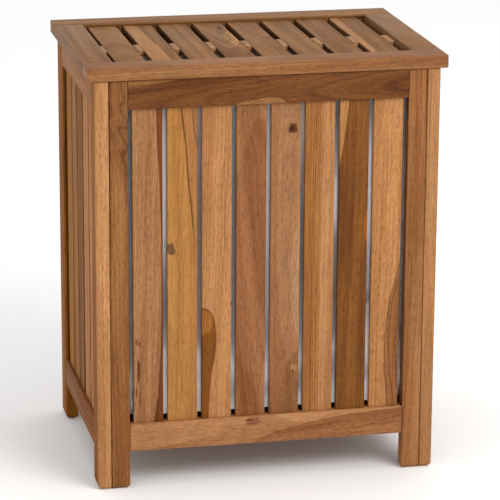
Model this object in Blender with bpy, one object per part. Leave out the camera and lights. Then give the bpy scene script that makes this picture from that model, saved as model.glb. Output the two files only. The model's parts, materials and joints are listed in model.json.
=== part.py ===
"""A free-standing teak laundry hamper.

Four slatted frame panels stand on four legs and carry a slatted floor and an open-topped
cloth liner. A slatted lid turns on two hinges behind the back panel.
Metres, +Z up, front towards -Y, origin on the floor under the middle of the hamper.
"""

import math

import bmesh
import bpy
from mathutils import Vector

# Overall size
WIDTH = 0.500
DEPTH = 0.350
HEIGHT = 0.600

# Clearances
GAP = 0.0003
MORTISE_SLACK = 0.0003
CHAMFER = 0.0010
FOOT_CHAMFER = 0.0040

# Hinges
HINGE_X = 0.150
HINGE_LENGTH = 0.036
LEAF_HEIGHT = 0.0155
KNUCKLE_RADIUS = 0.0020
KNUCKLE_BORE = 0.0012
PIN_RADIUS = 0.0009
MIDDLE_KNUCKLE = 0.012
CURL_END = math.radians(110)
CURL_STEPS = 12

# Lid
LID_THICK = 0.018
LID_RAIL = 0.042
LID_END_RAIL = 0.041
LID_SLATS = 8
LID_SLAT_TOP = 0.0045
LID_SLAT_SHIFT = -0.0023
BATTEN_WIDTH = 0.042
BATTEN_Y = -0.026

# Frame panels
LID_OVERHANG_X = 0.010
LID_OVERHANG_FRONT = 0.003
PANEL_THICK = 0.018
LEG_WIDTH = 0.042
STILE_WIDTH = 0.026
RAIL_HEIGHT = 0.040
BOTTOM_RAIL_Z = 0.054
FRONT_SLATS = 8
SIDE_SLATS = 5

# Slats
SLAT_WIDTH = 0.042
SLAT_THICK = 0.008
SLAT_RECESS = 0.005
SLAT_IN_RAIL = 0.0075
MORTISE_DEPTH = 0.008

# Tenons at the ends of the rails
SHOULDER = 0.005
TENON_LENGTH = 0.012

# Floor
CLEAT_SIZE = 0.018
CLEAT_RISE = 0.004
FLOOR_BOARDS = 5
FLOOR_BOARD_WIDTH = 0.056
FLOOR_BOARD_THICK = 0.012
FLOOR_SLACK = 0.003

# Liner
LINER_HALF_X = 0.214
LINER_FRONT_Y = -0.150
LINER_REAR_Y = 0.149
LINER_BOTTOM = 0.100
LINER_TOP = 0.560
LINER_RADIUS = 0.036
LINER_BOTTOM_ROUND = 0.012
LINER_ROUND_MIDDLE = 0.0036
LINER_WALL = 0.0016
LINER_ARC_STEPS = 6
HEM_HEIGHT = 0.022
HEM_THICK = 0.0014

# Faces and levels that follow from the sizes above
LID_FRONT = -DEPTH / 2
HINGE_Y = DEPTH / 2 - KNUCKLE_RADIUS
REAR = HINGE_Y - KNUCKLE_RADIUS - GAP
LID_BOTTOM = HEIGHT - LID_THICK
BODY_TOP = LID_BOTTOM - GAP
HINGE_Z = (LID_BOTTOM + BODY_TOP) / 2
FRONT = LID_FRONT + LID_OVERHANG_FRONT
SIDE = WIDTH / 2 - LID_OVERHANG_X
SIDE_IN = SIDE - PANEL_THICK
FRONT_IN = FRONT + PANEL_THICK
REAR_IN = REAR - PANEL_THICK
TOP_RAIL_Z = BODY_TOP - RAIL_HEIGHT
RAIL_TOP = BOTTOM_RAIL_Z + RAIL_HEIGHT

# Colours
TEAK = (0.36, 0.185, 0.080)
TEAK_LIGHT = (0.47, 0.262, 0.118)
TEAK_GOLD = (0.45, 0.240, 0.085)
TEAK_RED = (0.34, 0.160, 0.070)
TEAK_DARK = (0.25, 0.115, 0.048)
TEAK_GREY = (0.31, 0.180, 0.095)
LINER_GREY = (0.62, 0.64, 0.68)
STEEL = (0.55, 0.54, 0.52)

FRONT_SLAT_TONES = (
    TEAK,
    TEAK_GOLD,
    TEAK_LIGHT,
    TEAK_RED,
    TEAK,
    TEAK_GOLD,
    TEAK_DARK,
    TEAK_LIGHT,
)


def material(name, colour, roughness, metallic=0.0):
    """A Principled material of one object."""
    made = bpy.data.materials.new(name)
    made.use_nodes = True
    shader = made.node_tree.nodes["Principled BSDF"]
    shader.inputs["Base Color"].default_value = (*colour, 1.0)
    shader.inputs["Roughness"].default_value = roughness
    shader.inputs["Metallic"].default_value = metallic
    return made


def empty(name, place):
    """A parent that stands for a body of the hamper."""
    made = bpy.data.objects.new(name, None)
    made.location = place
    bpy.context.scene.collection.objects.link(made)
    return made


def add_object(name, bm, place, parent):
    """An object of this mesh, whose points are relative to place, a point in the world."""
    bm.normal_update()
    bmesh.ops.recalc_face_normals(bm, faces=bm.faces)
    mesh = bpy.data.meshes.new(name)
    bm.to_mesh(mesh)
    bm.free()
    made = bpy.data.objects.new(name, mesh)
    made.parent = parent
    made.location = Vector(place) - parent.location
    bpy.context.scene.collection.objects.link(made)
    return made


def add_box(bm, low, high):
    """Adds a box between two corners."""
    size = Vector(high) - Vector(low)
    middle = (Vector(high) + Vector(low)) / 2
    for vert in bmesh.ops.create_cube(bm, size=1.0)["verts"]:
        vert.co = Vector(a * b for a, b in zip(vert.co, size)) + middle


def chamfer_foot(bm, x_sides):
    """Takes the corners off a board's lower end: those along X, and those along Y on the given sides."""
    floor = min(vert.co.z for vert in bm.verts)
    edges = []
    for edge in bm.edges:
        middle = (edge.verts[0].co + edge.verts[1].co) / 2
        if middle.z == floor and (middle.x == 0 or math.copysign(1, middle.x) in x_sides):
            edges.append(edge)
    bmesh.ops.bevel(bm, geom=edges, offset=FOOT_CHAMFER, segments=1, affect="EDGES")


def board(name, low, high, tone, parent, tenon_axis=None, foot_sides=None):
    """A board between two corners, with chamfered edges and, on request, a tenon at each end or a foot."""
    middle = (Vector(low) + Vector(high)) / 2
    bm = bmesh.new()
    add_box(bm, Vector(low) - middle, Vector(high) - middle)
    if foot_sides is not None:
        chamfer_foot(bm, foot_sides)
    bmesh.ops.bevel(bm, geom=bm.edges[:], offset=CHAMFER, segments=1, affect="EDGES")
    if tenon_axis is not None:
        add_tenons(bm, tenon_axis)
    made = add_object(name, bm, middle, parent)
    made.data.materials.append(material(name, tone, 0.55))
    return made


def add_tenons(bm, axis):
    """Draws a tenon out of the two end faces that look along this axis."""
    for way in (-1, 1):
        end = max(bm.faces, key=lambda face: way * face.calc_center_median()[axis])
        bmesh.ops.inset_individual(bm, faces=[end], thickness=SHOULDER - CHAMFER, use_even_offset=True)
        drawn = bmesh.ops.extrude_discrete_faces(bm, faces=[end])["faces"][0]
        for vert in drawn.verts:
            vert.co[axis] += way * TENON_LENGTH


def cutter(name, boxes, parent):
    """A hidden object of boxes, each given by its two corners in the world."""
    bm = bmesh.new()
    for low, high in boxes:
        add_box(bm, Vector(low) - parent.location, Vector(high) - parent.location)
    made = add_object(name, bm, parent.location, parent)
    made.hide_render = True
    made.display_type = "WIRE"
    return made


def cut(target, boxes):
    """Cuts mortises, each a box in the world, out of a board."""
    tool = cutter("cut_" + target.name, boxes, target.parent)
    made = target.modifiers.new("Mortises", "BOOLEAN")
    made.operation = "DIFFERENCE"
    made.solver = "EXACT"
    made.object = tool


def slat_starts(low, high, count, shift=0.0):
    """Where each of these evenly spaced slats starts between low and high."""
    space = (high - low - count * SLAT_WIDTH) / (count + 1)
    return [low + space + shift + i * (SLAT_WIDTH + space) for i in range(count)]


def slat_mortises(starts, along, depth_low, depth_high, end, inward):
    """Boxes in a rail for slats that stand side by side along X or Y and run into the rail at end."""
    boxes = []
    for start in starts:
        across = sorted((end - inward * MORTISE_SLACK, end + inward * MORTISE_DEPTH))
        width = (start - MORTISE_SLACK, start + SLAT_WIDTH + MORTISE_SLACK)
        thick = (depth_low - MORTISE_SLACK, depth_high + MORTISE_SLACK)
        corners = []
        for k in (0, 1):
            if along == "x":
                corners.append((width[k], thick[k], across[k]))
            else:
                corners.append((thick[k], width[k], across[k]))
        boxes.append(corners)
    return boxes


def tenon_mortise(x, y, z, way_axis, way):
    """A box for a rail's tenon: x, y and z are the rail's low and high sides, or its end along way_axis."""
    spans = [x, y, z]
    low = []
    high = []
    for axis, span in enumerate(spans):
        if axis == way_axis:
            reach = sorted((span - way * MORTISE_SLACK, span + way * (TENON_LENGTH + MORTISE_SLACK)))
            low.append(reach[0])
            high.append(reach[1])
        else:
            low.append(span[0] + SHOULDER - MORTISE_SLACK)
            high.append(span[1] - SHOULDER + MORTISE_SLACK)
    return low, high


def front_or_back_slats(y_low, y_high, x_low, x_high):
    """The slat boxes of the front or the back panel, with the rails' mortises for them."""
    starts = slat_starts(x_low, x_high, FRONT_SLATS)
    slats = []
    for start in starts:
        low = (start, y_low, RAIL_TOP - SLAT_IN_RAIL)
        high = (start + SLAT_WIDTH, y_high, TOP_RAIL_Z + SLAT_IN_RAIL)
        slats.append((low, high))
    bottom = slat_mortises(starts, "x", y_low, y_high, RAIL_TOP, -1)
    top = slat_mortises(starts, "x", y_low, y_high, TOP_RAIL_Z, 1)
    return slats, bottom, top


def side_panel(side, sign, body):
    """Two legs, two rails and five slats: the panel on one side of the hamper."""
    x_low, x_high = sorted((sign * SIDE, sign * SIDE_IN))
    legs = (("front", FRONT, FRONT + LEG_WIDTH, 1, (sign,)), ("rear", REAR - LEG_WIDTH, REAR, -1, (-1, 1)))
    rail_y = (FRONT + LEG_WIDTH, REAR - LEG_WIDTH)
    rail_z = ((BOTTOM_RAIL_Z, RAIL_TOP), (TOP_RAIL_Z, BODY_TOP))
    for end, y_low, y_high, way, foot_sides in legs:
        low, high = (x_low, y_low, 0), (x_high, y_high, BODY_TOP)
        leg = board(f"leg_{end}_{side}", low, high, TEAK, body, foot_sides=foot_sides)
        face = y_high if way == 1 else y_low
        cut(leg, [tenon_mortise((x_low, x_high), face, z, 1, -way) for z in rail_z])

    slat_x = sorted((sign * (SIDE - SLAT_RECESS), sign * (SIDE - SLAT_RECESS - SLAT_THICK)))
    starts = slat_starts(*rail_y, SIDE_SLATS)
    for level, z, end, way in (("bottom", rail_z[0], RAIL_TOP, -1), ("top", rail_z[1], TOP_RAIL_Z, 1)):
        low = (x_low, rail_y[0] + GAP, z[0])
        high = (x_high, rail_y[1] - GAP, z[1])
        rail = board(f"side_rail_{level}_{side}", low, high, TEAK, body, tenon_axis=1)
        cut(rail, slat_mortises(starts, "y", *slat_x, end, way))
    for i, start in enumerate(starts):
        low = (slat_x[0], start, RAIL_TOP - SLAT_IN_RAIL)
        high = (slat_x[1], start + SLAT_WIDTH, TOP_RAIL_Z + SLAT_IN_RAIL)
        board(f"side_slat_{side}_{i + 1}", low, high, TEAK, body)


def upright_panel_ends(face, y_low, y_high, z_low, body):
    """The two narrow stiles of the front or the back panel."""
    rail_z = ((BOTTOM_RAIL_Z, RAIL_TOP), (TOP_RAIL_Z, BODY_TOP))
    for side, sign in (("left", -1), ("right", 1)):
        outer = sign * (SIDE_IN - GAP)
        inner = outer - sign * STILE_WIDTH
        x_low, x_high = sorted((outer, inner))
        low, high = (x_low, y_low, z_low), (x_high, y_high, BODY_TOP)
        foot_sides = (-sign,) if z_low == 0 else None
        stile = board(f"{face}_stile_{side}", low, high, TEAK, body, foot_sides=foot_sides)
        cut(stile, [tenon_mortise(inner, (y_low, y_high), z, 0, sign) for z in rail_z])


def front_panel(body):
    """Two stiles that reach the floor, two rails and eight slats."""
    upright_panel_ends("front", FRONT, FRONT_IN, 0, body)
    opening = SIDE_IN - GAP - STILE_WIDTH
    y_low = FRONT + SLAT_RECESS
    slats, bottom, top = front_or_back_slats(y_low, y_low + SLAT_THICK, -opening, opening)
    for level, z_low, mortises in (("bottom", BOTTOM_RAIL_Z, bottom), ("top", TOP_RAIL_Z, top)):
        low = (GAP - opening, FRONT, z_low)
        high = (opening - GAP, FRONT_IN, z_low + RAIL_HEIGHT)
        rail = board(f"front_rail_{level}", low, high, TEAK, body, tenon_axis=0)
        cut(rail, mortises)
    for i, (low, high) in enumerate(slats):
        board(f"front_slat_{i + 1}", low, high, FRONT_SLAT_TONES[i], body)


def back_panel(body):
    """Two stiles that stop at the bottom rail, with the rails and the glued-in slats as one piece."""
    upright_panel_ends("back", REAR_IN, REAR, BOTTOM_RAIL_Z, body)
    opening = SIDE_IN - GAP - STILE_WIDTH
    y_high = REAR - SLAT_RECESS
    slats, _, _ = front_or_back_slats(y_high - SLAT_THICK, y_high, -opening, opening)
    low = (GAP - opening, REAR_IN, BOTTOM_RAIL_Z)
    panel = board("back_panel", low, (opening - GAP, REAR, RAIL_TOP), TEAK, body, tenon_axis=0)
    low = (GAP - opening, REAR_IN, TOP_RAIL_Z)
    rail = board("join_back_rail_top", low, (opening - GAP, REAR, BODY_TOP), TEAK, body, tenon_axis=0)
    bars = cutter("join_back_slats", slats, body)
    for helper in (rail, bars):
        helper.hide_render = True
        helper.display_type = "WIRE"
        joined = panel.modifiers.new("Glued joint", "BOOLEAN")
        joined.operation = "UNION"
        joined.solver = "EXACT"
        joined.object = helper


def floor(body):
    """Five boards on a cleat along each side."""
    cleat_top = BOTTOM_RAIL_Z + CLEAT_RISE + CLEAT_SIZE
    y_low = FRONT_IN + FLOOR_SLACK
    y_high = REAR_IN - FLOOR_SLACK
    for side, sign in (("left", -1), ("right", 1)):
        outer = sign * (SIDE_IN - GAP)
        x_low, x_high = sorted((outer, outer - sign * CLEAT_SIZE))
        low = (x_low, y_low, cleat_top - CLEAT_SIZE)
        board(f"floor_cleat_{side}", low, (x_high, y_high, cleat_top), TEAK, body)
    space = (y_high - y_low - FLOOR_BOARDS * FLOOR_BOARD_WIDTH) / (FLOOR_BOARDS - 1)
    reach = SIDE_IN - FLOOR_SLACK
    for i in range(FLOOR_BOARDS):
        start = y_low + i * (FLOOR_BOARD_WIDTH + space)
        low = (-reach, start, cleat_top + GAP)
        high = (reach, start + FLOOR_BOARD_WIDTH, cleat_top + GAP + FLOOR_BOARD_THICK)
        board(f"floor_board_{i + 1}", low, high, TEAK_GREY, body)


def rounded_loop(bm, z, inset):
    """The vertices of a rectangle with round corners, at height z, inset from the liner's outer face."""
    radius = LINER_RADIUS - inset
    half_x = LINER_HALF_X - LINER_RADIUS
    half_y = (LINER_REAR_Y - LINER_FRONT_Y) / 2 - LINER_RADIUS
    verts = []
    for quarter, (x_way, y_way) in enumerate(((1, 1), (-1, 1), (-1, -1), (1, -1))):
        for i in range(LINER_ARC_STEPS + 1):
            turn = math.pi / 2 * (quarter + i / LINER_ARC_STEPS)
            x = x_way * half_x + radius * math.cos(turn)
            y = y_way * half_y + radius * math.sin(turn)
            verts.append(bm.verts.new((x, y, z)))
    return verts


def liner(body):
    """The cloth liner: an open-topped bag with a thicker hem round its rim."""
    bm = bmesh.new()
    height = LINER_TOP - LINER_BOTTOM
    rings = (
        (0, LINER_BOTTOM_ROUND),
        (LINER_ROUND_MIDDLE, LINER_ROUND_MIDDLE),
        (LINER_BOTTOM_ROUND, 0),
        (height - HEM_HEIGHT - HEM_THICK, 0),
        (height - HEM_HEIGHT, -HEM_THICK),
        (height, -HEM_THICK),
        (height, LINER_WALL),
        (LINER_BOTTOM_ROUND, LINER_WALL),
        (LINER_WALL + LINER_ROUND_MIDDLE, LINER_WALL + LINER_ROUND_MIDDLE),
        (LINER_WALL, LINER_WALL + LINER_BOTTOM_ROUND),
    )
    loops = [rounded_loop(bm, z, inset) for z, inset in rings]
    for below, above in zip(loops, loops[1:]):
        for i in range(len(below)):
            j = (i + 1) % len(below)
            bm.faces.new((below[i], below[j], above[j], above[i]))
    bm.faces.new(loops[0])
    bm.faces.new(loops[-1])
    middle = (0, (LINER_FRONT_Y + LINER_REAR_Y) / 2, LINER_BOTTOM)
    made = add_object("liner_bag", bm, middle, body)
    made.data.materials.append(material("liner_bag", LINER_GREY, 0.9))
    made.data.shade_smooth()
    made.data.set_sharp_from_angle(angle=math.radians(40))


def leaf_profile(up):
    """The (y, z) outline of a hinge leaf and its rolled knuckle, about the pin. up is 1 for the lid."""
    points = [(-KNUCKLE_RADIUS, LEAF_HEIGHT)]
    for radius, steps in ((KNUCKLE_RADIUS, range(CURL_STEPS + 1)), (KNUCKLE_BORE, range(CURL_STEPS, -1, -1))):
        for i in steps:
            turn = math.pi + (math.pi + CURL_END) * i / CURL_STEPS
            points.append((radius * math.cos(turn), radius * math.sin(turn)))
    points.append((-KNUCKLE_BORE, LEAF_HEIGHT))
    return [(y, up * z) for y, z in points]


def hinge_leaf(name, x, up, parent):
    """One leaf of a hinge, with its knuckle along X."""
    bm = bmesh.new()
    ends = []
    for end in (-HINGE_LENGTH / 2, HINGE_LENGTH / 2):
        ends.append([bm.verts.new((end, y, z)) for y, z in leaf_profile(up)])
    for i in range(len(ends[0])):
        j = (i + 1) % len(ends[0])
        bm.faces.new((ends[0][i], ends[0][j], ends[1][j], ends[1][i]))
    bm.faces.new(ends[0])
    bm.faces.new(ends[1])
    made = add_object(name, bm, (x, HINGE_Y, HINGE_Z), parent)
    made.data.materials.append(material(name, STEEL, 0.35, 1.0))
    made.data.shade_smooth()
    made.data.set_sharp_from_angle(angle=math.radians(35))
    return made


def hinge(side, x, body, lid):
    """Two leaves and a pin. The lid's leaf keeps the middle knuckle and the body's leaf the outer two."""
    room = KNUCKLE_RADIUS + GAP
    y = (HINGE_Y - 2 * room, HINGE_Y + 2 * room)
    z = (HINGE_Z - room, HINGE_Z + room)
    past = HINGE_LENGTH
    middle = MIDDLE_KNUCKLE / 2
    lid_leaf = hinge_leaf(f"hinge_lid_leaf_{side}", x, 1, lid)
    outer = []
    for inner_x, far_x in ((x - middle, x - past), (x + middle, x + past)):
        x_low, x_high = sorted((inner_x, far_x))
        outer.append(((x_low, y[0], z[0]), (x_high, y[1], z[1])))
    cut(lid_leaf, outer)
    body_leaf = hinge_leaf(f"hinge_body_leaf_{side}", x, -1, body)
    inner = middle + GAP
    cut(body_leaf, [((x - inner, y[0], z[0]), (x + inner, y[1], z[1]))])

    bm = bmesh.new()
    made = bmesh.ops.create_cone(
        bm, cap_ends=True, segments=16, radius1=PIN_RADIUS, radius2=PIN_RADIUS, depth=HINGE_LENGTH
    )
    for vert in made["verts"]:
        vert.co = Vector((vert.co.z, vert.co.x, vert.co.y))
    pin = add_object(f"hinge_pin_{side}", bm, (x, HINGE_Y, HINGE_Z), body)
    pin.data.materials.append(material(pin.name, STEEL, 0.3, 1.0))
    pin.data.shade_smooth()
    pin.data.set_sharp_from_angle(angle=math.radians(35))


def lid_panel(lid):
    """Two long rails, two end rails between them, and eight slats half-lapped with a cross batten."""
    half = WIDTH / 2
    end_inner = half - LID_END_RAIL
    front_inner = LID_FRONT + LID_RAIL
    rear_inner = REAR - LID_RAIL
    slat_z = (HEIGHT - LID_SLAT_TOP - SLAT_THICK, HEIGHT - LID_SLAT_TOP)
    lap_z = (slat_z[0] + slat_z[1]) / 2
    batten_y = (BATTEN_Y - BATTEN_WIDTH / 2, BATTEN_Y + BATTEN_WIDTH / 2)
    starts = slat_starts(-end_inner, end_inner, LID_SLATS, LID_SLAT_SHIFT)
    long_rails = (
        ("front", LID_FRONT, front_inner, front_inner, -1),
        ("back", rear_inner, REAR, rear_inner, 1),
    )
    for face, y_low, y_high, inner, way in long_rails:
        rail = board(f"lid_rail_{face}", (-half, y_low, LID_BOTTOM), (half, y_high, HEIGHT), TEAK, lid)
        mortises = []
        for start in starts:
            reach = sorted((inner - way * MORTISE_SLACK, inner + way * MORTISE_DEPTH))
            low = (start - MORTISE_SLACK, reach[0], slat_z[0] - MORTISE_SLACK)
            high = (start + SLAT_WIDTH + MORTISE_SLACK, reach[1], slat_z[1] + MORTISE_SLACK)
            mortises.append((low, high))
        for x in ((-half, -end_inner), (end_inner, half)):
            mortises.append(tenon_mortise(x, inner, (LID_BOTTOM, HEIGHT), 1, way))
        cut(rail, mortises)
    for side, x_low, x_high in (("left", -half, -end_inner), ("right", end_inner, half)):
        low = (x_low, front_inner + GAP, LID_BOTTOM)
        high = (x_high, rear_inner - GAP, HEIGHT)
        board(f"lid_end_rail_{side}", low, high, TEAK_GREY, lid, tenon_axis=1)
    for i, start in enumerate(starts):
        low = (start, front_inner - SLAT_IN_RAIL, slat_z[0])
        high = (start + SLAT_WIDTH, rear_inner + SLAT_IN_RAIL, slat_z[1])
        slat = board(f"lid_slat_{i + 1}", low, high, TEAK_GREY, lid)
        low = (start - GAP, batten_y[0] - GAP, slat_z[0] - GAP)
        high = (start + SLAT_WIDTH + GAP, batten_y[1] + GAP, lap_z + GAP / 2)
        cut(slat, [(low, high)])
    low = (GAP - end_inner, batten_y[0], slat_z[0])
    high = (end_inner - GAP, batten_y[1], slat_z[1])
    batten = board("lid_batten", low, high, TEAK, lid)
    laps = []
    for start in starts:
        low = (start - GAP, batten_y[0] - GAP, lap_z - GAP / 2)
        high = (start + SLAT_WIDTH + GAP, batten_y[1] + GAP, slat_z[1] + GAP)
        laps.append((low, high))
    cut(batten, laps)


def main():
    for old in list(bpy.data.objects):
        bpy.data.objects.remove(old, do_unlink=True)
    body = empty("body", (0, 0, 0))
    lid = empty("lid_pivot", (0, HINGE_Y, HINGE_Z))
    for side, sign in (("left", -1), ("right", 1)):
        side_panel(side, sign, body)
        hinge(side, sign * HINGE_X, body, lid)
    front_panel(body)
    back_panel(body)
    floor(body)
    liner(body)
    lid_panel(lid)


main()
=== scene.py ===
"""The looks of the slatted teak laundry hamper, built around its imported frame."""

import json
import math
import random

import bmesh
import bpy
from mathutils import Euler, Matrix, Vector, noise


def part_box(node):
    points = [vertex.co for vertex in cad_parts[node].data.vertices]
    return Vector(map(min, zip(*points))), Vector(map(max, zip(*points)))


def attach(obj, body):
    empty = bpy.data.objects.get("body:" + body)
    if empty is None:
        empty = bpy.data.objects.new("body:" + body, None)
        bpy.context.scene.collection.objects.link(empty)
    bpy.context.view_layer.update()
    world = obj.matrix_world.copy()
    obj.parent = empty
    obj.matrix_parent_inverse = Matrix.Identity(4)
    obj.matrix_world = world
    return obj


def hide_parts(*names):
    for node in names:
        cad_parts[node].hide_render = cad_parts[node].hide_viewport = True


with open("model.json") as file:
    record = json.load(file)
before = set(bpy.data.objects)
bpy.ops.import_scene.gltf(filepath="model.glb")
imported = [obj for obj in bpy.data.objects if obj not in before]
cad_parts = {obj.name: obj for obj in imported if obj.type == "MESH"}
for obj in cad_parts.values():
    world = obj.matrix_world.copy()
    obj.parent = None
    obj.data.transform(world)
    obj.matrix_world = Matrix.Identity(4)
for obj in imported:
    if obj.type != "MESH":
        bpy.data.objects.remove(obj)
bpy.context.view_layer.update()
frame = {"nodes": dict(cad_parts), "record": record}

# ---------------------------------------------------------------- sizes shared with the frame
GAP = 0.0003
SHOULDER = 0.005
TENON_LENGTH = 0.012
MORTISE_SLACK = 0.0003
SLAT_RECESS = 0.005
SLAT_THICK = 0.008
SLATS = 8

EDGE_ROUND = 0.0014
EDGE_STEPS = 3
FOOT_CHAMFER = 0.004
LAP_OVERRUN = 0.002
TINY = 1e-6
X, Y = 0, 1


def add_object(name, data):
    made = bpy.data.objects.new(name, data)
    bpy.context.scene.collection.objects.link(made)
    return made


def apply_modifiers(made):
    """Gives an object the mesh that its modifiers make of it."""
    graph = bpy.context.evaluated_depsgraph_get()
    mesh = bpy.data.meshes.new_from_object(made.evaluated_get(graph))
    made.modifiers.clear()
    old = made.data
    made.data = mesh
    bpy.data.meshes.remove(old)
    mesh.name = made.name
    return mesh


def ring_faces(rows, columns, flip=False):
    """The quads between rows of points, each row a closed ring of this many columns."""
    faces = []
    for j in range(rows - 1):
        for i in range(columns):
            k = (i + 1) % columns
            a, b = j * columns, (j + 1) * columns
            faces.append((a + k, a + i, b + i, b + k) if flip else (a + i, a + k, b + k, b + i))
    return faces


# ---------------------------------------------------------------- camera, floor and lights
CAMERA_PLACE = Vector((-0.7937, -3.6465, 1.3643))
CAMERA_TURN = math.radians(12.448)
CAMERA_DOWN = math.radians(16.106)
CAMERA_ROLL = math.radians(0.346)
CAMERA_LENS = 193.84
CAMERA_SENSOR = 36
CAMERA_REACH = 50
KEY_PLACE = (1.6, -2.6, 2.6)
KEY_AIM = (0, 0, 0.3)
KEY_SIZE = (2.2, 1.6)
KEY_POWER = 70
KEY_COLOUR = (1.0, 0.98, 0.95)
FLOOR_REACH = 14
FLOOR_COLOUR = (0.93, 0.93, 0.93, 1)


def camera():
    data = bpy.data.cameras.new("camera")
    data.lens = CAMERA_LENS
    data.sensor_width = CAMERA_SENSOR
    data.clip_end = CAMERA_REACH
    made = add_object("camera", data)
    turn = Matrix.Rotation(-CAMERA_TURN, 4, "Z")
    down = Matrix.Rotation(math.pi / 2 - CAMERA_DOWN, 4, "X")
    roll = Matrix.Rotation(CAMERA_ROLL, 4, "Z")
    made.matrix_world = Matrix.Translation(CAMERA_PLACE) @ turn @ down @ roll
    bpy.context.scene.camera = made


def key_light():
    data = bpy.data.lights.new("key", "AREA")
    data.shape = "RECTANGLE"
    data.size, data.size_y = KEY_SIZE
    data.energy = KEY_POWER
    data.color = KEY_COLOUR
    made = add_object("key", data)
    made.location = KEY_PLACE
    made.rotation_euler = (Vector(KEY_AIM) - Vector(KEY_PLACE)).to_track_quat("-Z", "Y").to_euler()


def studio():
    scene = bpy.context.scene
    scene.view_settings.view_transform = "Standard"
    scene.view_settings.look = "None"
    world = bpy.data.worlds.new("studio")
    scene.world = world
    world.use_nodes = True
    background = world.node_tree.nodes["Background"]
    background.inputs["Color"].default_value = (1, 1, 1, 1)
    background.inputs["Strength"].default_value = 1.0
    key_light()

    mesh = bpy.data.meshes.new("floor")
    corners = [(x * FLOOR_REACH, y * FLOOR_REACH, 0) for x, y in ((-1, -1), (1, -1), (1, 1), (-1, 1))]
    mesh.from_pydata(corners, [], [(0, 1, 2, 3)])
    n = Nodes("floor")
    n.shader.inputs["Base Color"].default_value = FLOOR_COLOUR
    n.shader.inputs["Roughness"].default_value = 0.7
    n.shader.inputs["Specular IOR Level"].default_value = 0.2
    mesh.materials.append(n.material)
    add_object("floor", mesh)


# ---------------------------------------------------------------- shader node helper
class Nodes:
    """Builds a material's nodes. Values may be numbers or sockets."""

    def __init__(self, name):
        self.material = bpy.data.materials.new(name)
        self.material.use_nodes = True
        self.tree = self.material.node_tree
        self.shader = self.tree.nodes["Principled BSDF"]

    def put(self, socket, value):
        if isinstance(value, bpy.types.NodeSocket):
            self.tree.links.new(value, socket)
        elif value is not None:
            socket.default_value = value

    def node(self, kind, output=0, **inputs):
        made = self.tree.nodes.new(kind)
        for key, value in inputs.items():
            self.put(made.inputs[key.replace("_", " ")], value)
        return made.outputs[output]

    def parts(self, vector):
        made = self.tree.nodes.new("ShaderNodeSeparateXYZ")
        self.tree.links.new(vector, made.inputs[0])
        return tuple(made.outputs)

    def math(self, operation, a, b=None):
        made = self.tree.nodes.new("ShaderNodeMath")
        made.operation = operation
        for socket, value in zip(made.inputs, (a, b)):
            self.put(socket, value)
        return made.outputs[0]

    def add(self, a, b):
        return self.math("ADD", a, b)

    def sub(self, a, b):
        return self.math("SUBTRACT", a, b)

    def mul(self, a, b):
        return self.math("MULTIPLY", a, b)

    def dim(self, shade, where, amount):
        """Takes a share of the shade away, where the mask is 1."""
        return self.mul(shade, self.sub(1.0, self.mul(where, amount)))

    def bell(self, squares):
        """1 at the middle and falling off round it, from the sum of the squared distances."""
        return self.math("EXPONENT", self.mul(squares, -0.5))

    def distance(self, a, b):
        return self.math("SQRT", self.add(self.mul(a, a), self.mul(b, b)))

    def step(self, value, low, high):
        """0 below low, 1 above high and smooth between."""
        made = self.tree.nodes.new("ShaderNodeMapRange")
        made.interpolation_type = "SMOOTHSTEP"
        self.put(made.inputs["Value"], value)
        self.put(made.inputs["From Min"], low)
        self.put(made.inputs["From Max"], high)
        return made.outputs[0]

    def span(self, value, low, high, to_low, to_high):
        made = self.tree.nodes.new("ShaderNodeMapRange")
        for key, given in (
            ("Value", value), ("From Min", low), ("From Max", high), ("To Min", to_low), ("To Max", to_high)
        ):
            self.put(made.inputs[key], given)
        return made.outputs[0]

    def about_one(self, value, reach, depth):
        """A noise's middle range, turned into a factor of 1, give or take a depth."""
        return self.span(value, 0.5 - reach, 0.5 + reach, 1 - depth, 1 + depth)

    def swing(self, value, size):
        """A noise turned into an offset to both sides of zero."""
        return self.mul(self.sub(value, 0.5), size)

    def noise(self, vector, detail=2.0, roughness=0.5, scale=1.0):
        return self.node("ShaderNodeTexNoise", Vector=vector, Scale=scale, Detail=detail, Roughness=roughness)

    def xyz(self, x, y, z):
        return self.node("ShaderNodeCombineXYZ", X=x, Y=y, Z=z)

    def grain(self, across, deep, length, cross, along):
        """A place whose noise is drawn out along a board, by a scale across it and one along it."""
        return self.xyz(self.mul(across, cross), self.mul(deep, cross), self.mul(length, along))

    def bump(self, strength, distance, height):
        bump = self.node("ShaderNodeBump", Strength=strength, Distance=distance, Height=height)
        self.put(self.shader.inputs["Normal"], bump)

    def grey(self, colour, shade):
        """The colour, darker or lighter by a shade."""
        return self.mix(1.0, colour, self.xyz(shade, shade, shade), "MULTIPLY")

    def mix(self, factor, a, b, kind="MIX"):
        made = self.tree.nodes.new("ShaderNodeMix")
        made.data_type = "RGBA"
        made.blend_type = kind
        self.put(made.inputs[0], factor)
        self.put(made.inputs[6], a)
        self.put(made.inputs[7], b)
        return made.outputs[2]

    def curve(self, value, points):
        """A smooth curve through points that rise in their first number, all from 0 to 1."""
        made = self.tree.nodes.new("ShaderNodeFloatCurve")
        line = made.mapping.curves[0]
        line.points[0].location = points[0]
        line.points[1].location = points[-1]
        for point in points[1:-1]:
            line.points.new(*point)
        made.mapping.update()
        self.put(made.inputs["Value"], value)
        return made.outputs[0]


FRONT_LIGHT = 1.32
FRONT_SHEEN = 0.015


def rgb(red, green, blue):
    """The linear colour of a surface that shows as these display values, 0 to 255, on the lit front,
    where the pale room also adds a little sheen."""
    linear = []
    for value in (red, green, blue):
        share = value / 255
        shown = share / 12.92 if share <= 0.04045 else ((share + 0.055) / 1.055) ** 2.4
        linear.append(max(shown - FRONT_SHEEN, 0.002) / FRONT_LIGHT)
    return (*linear, 1.0)


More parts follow.
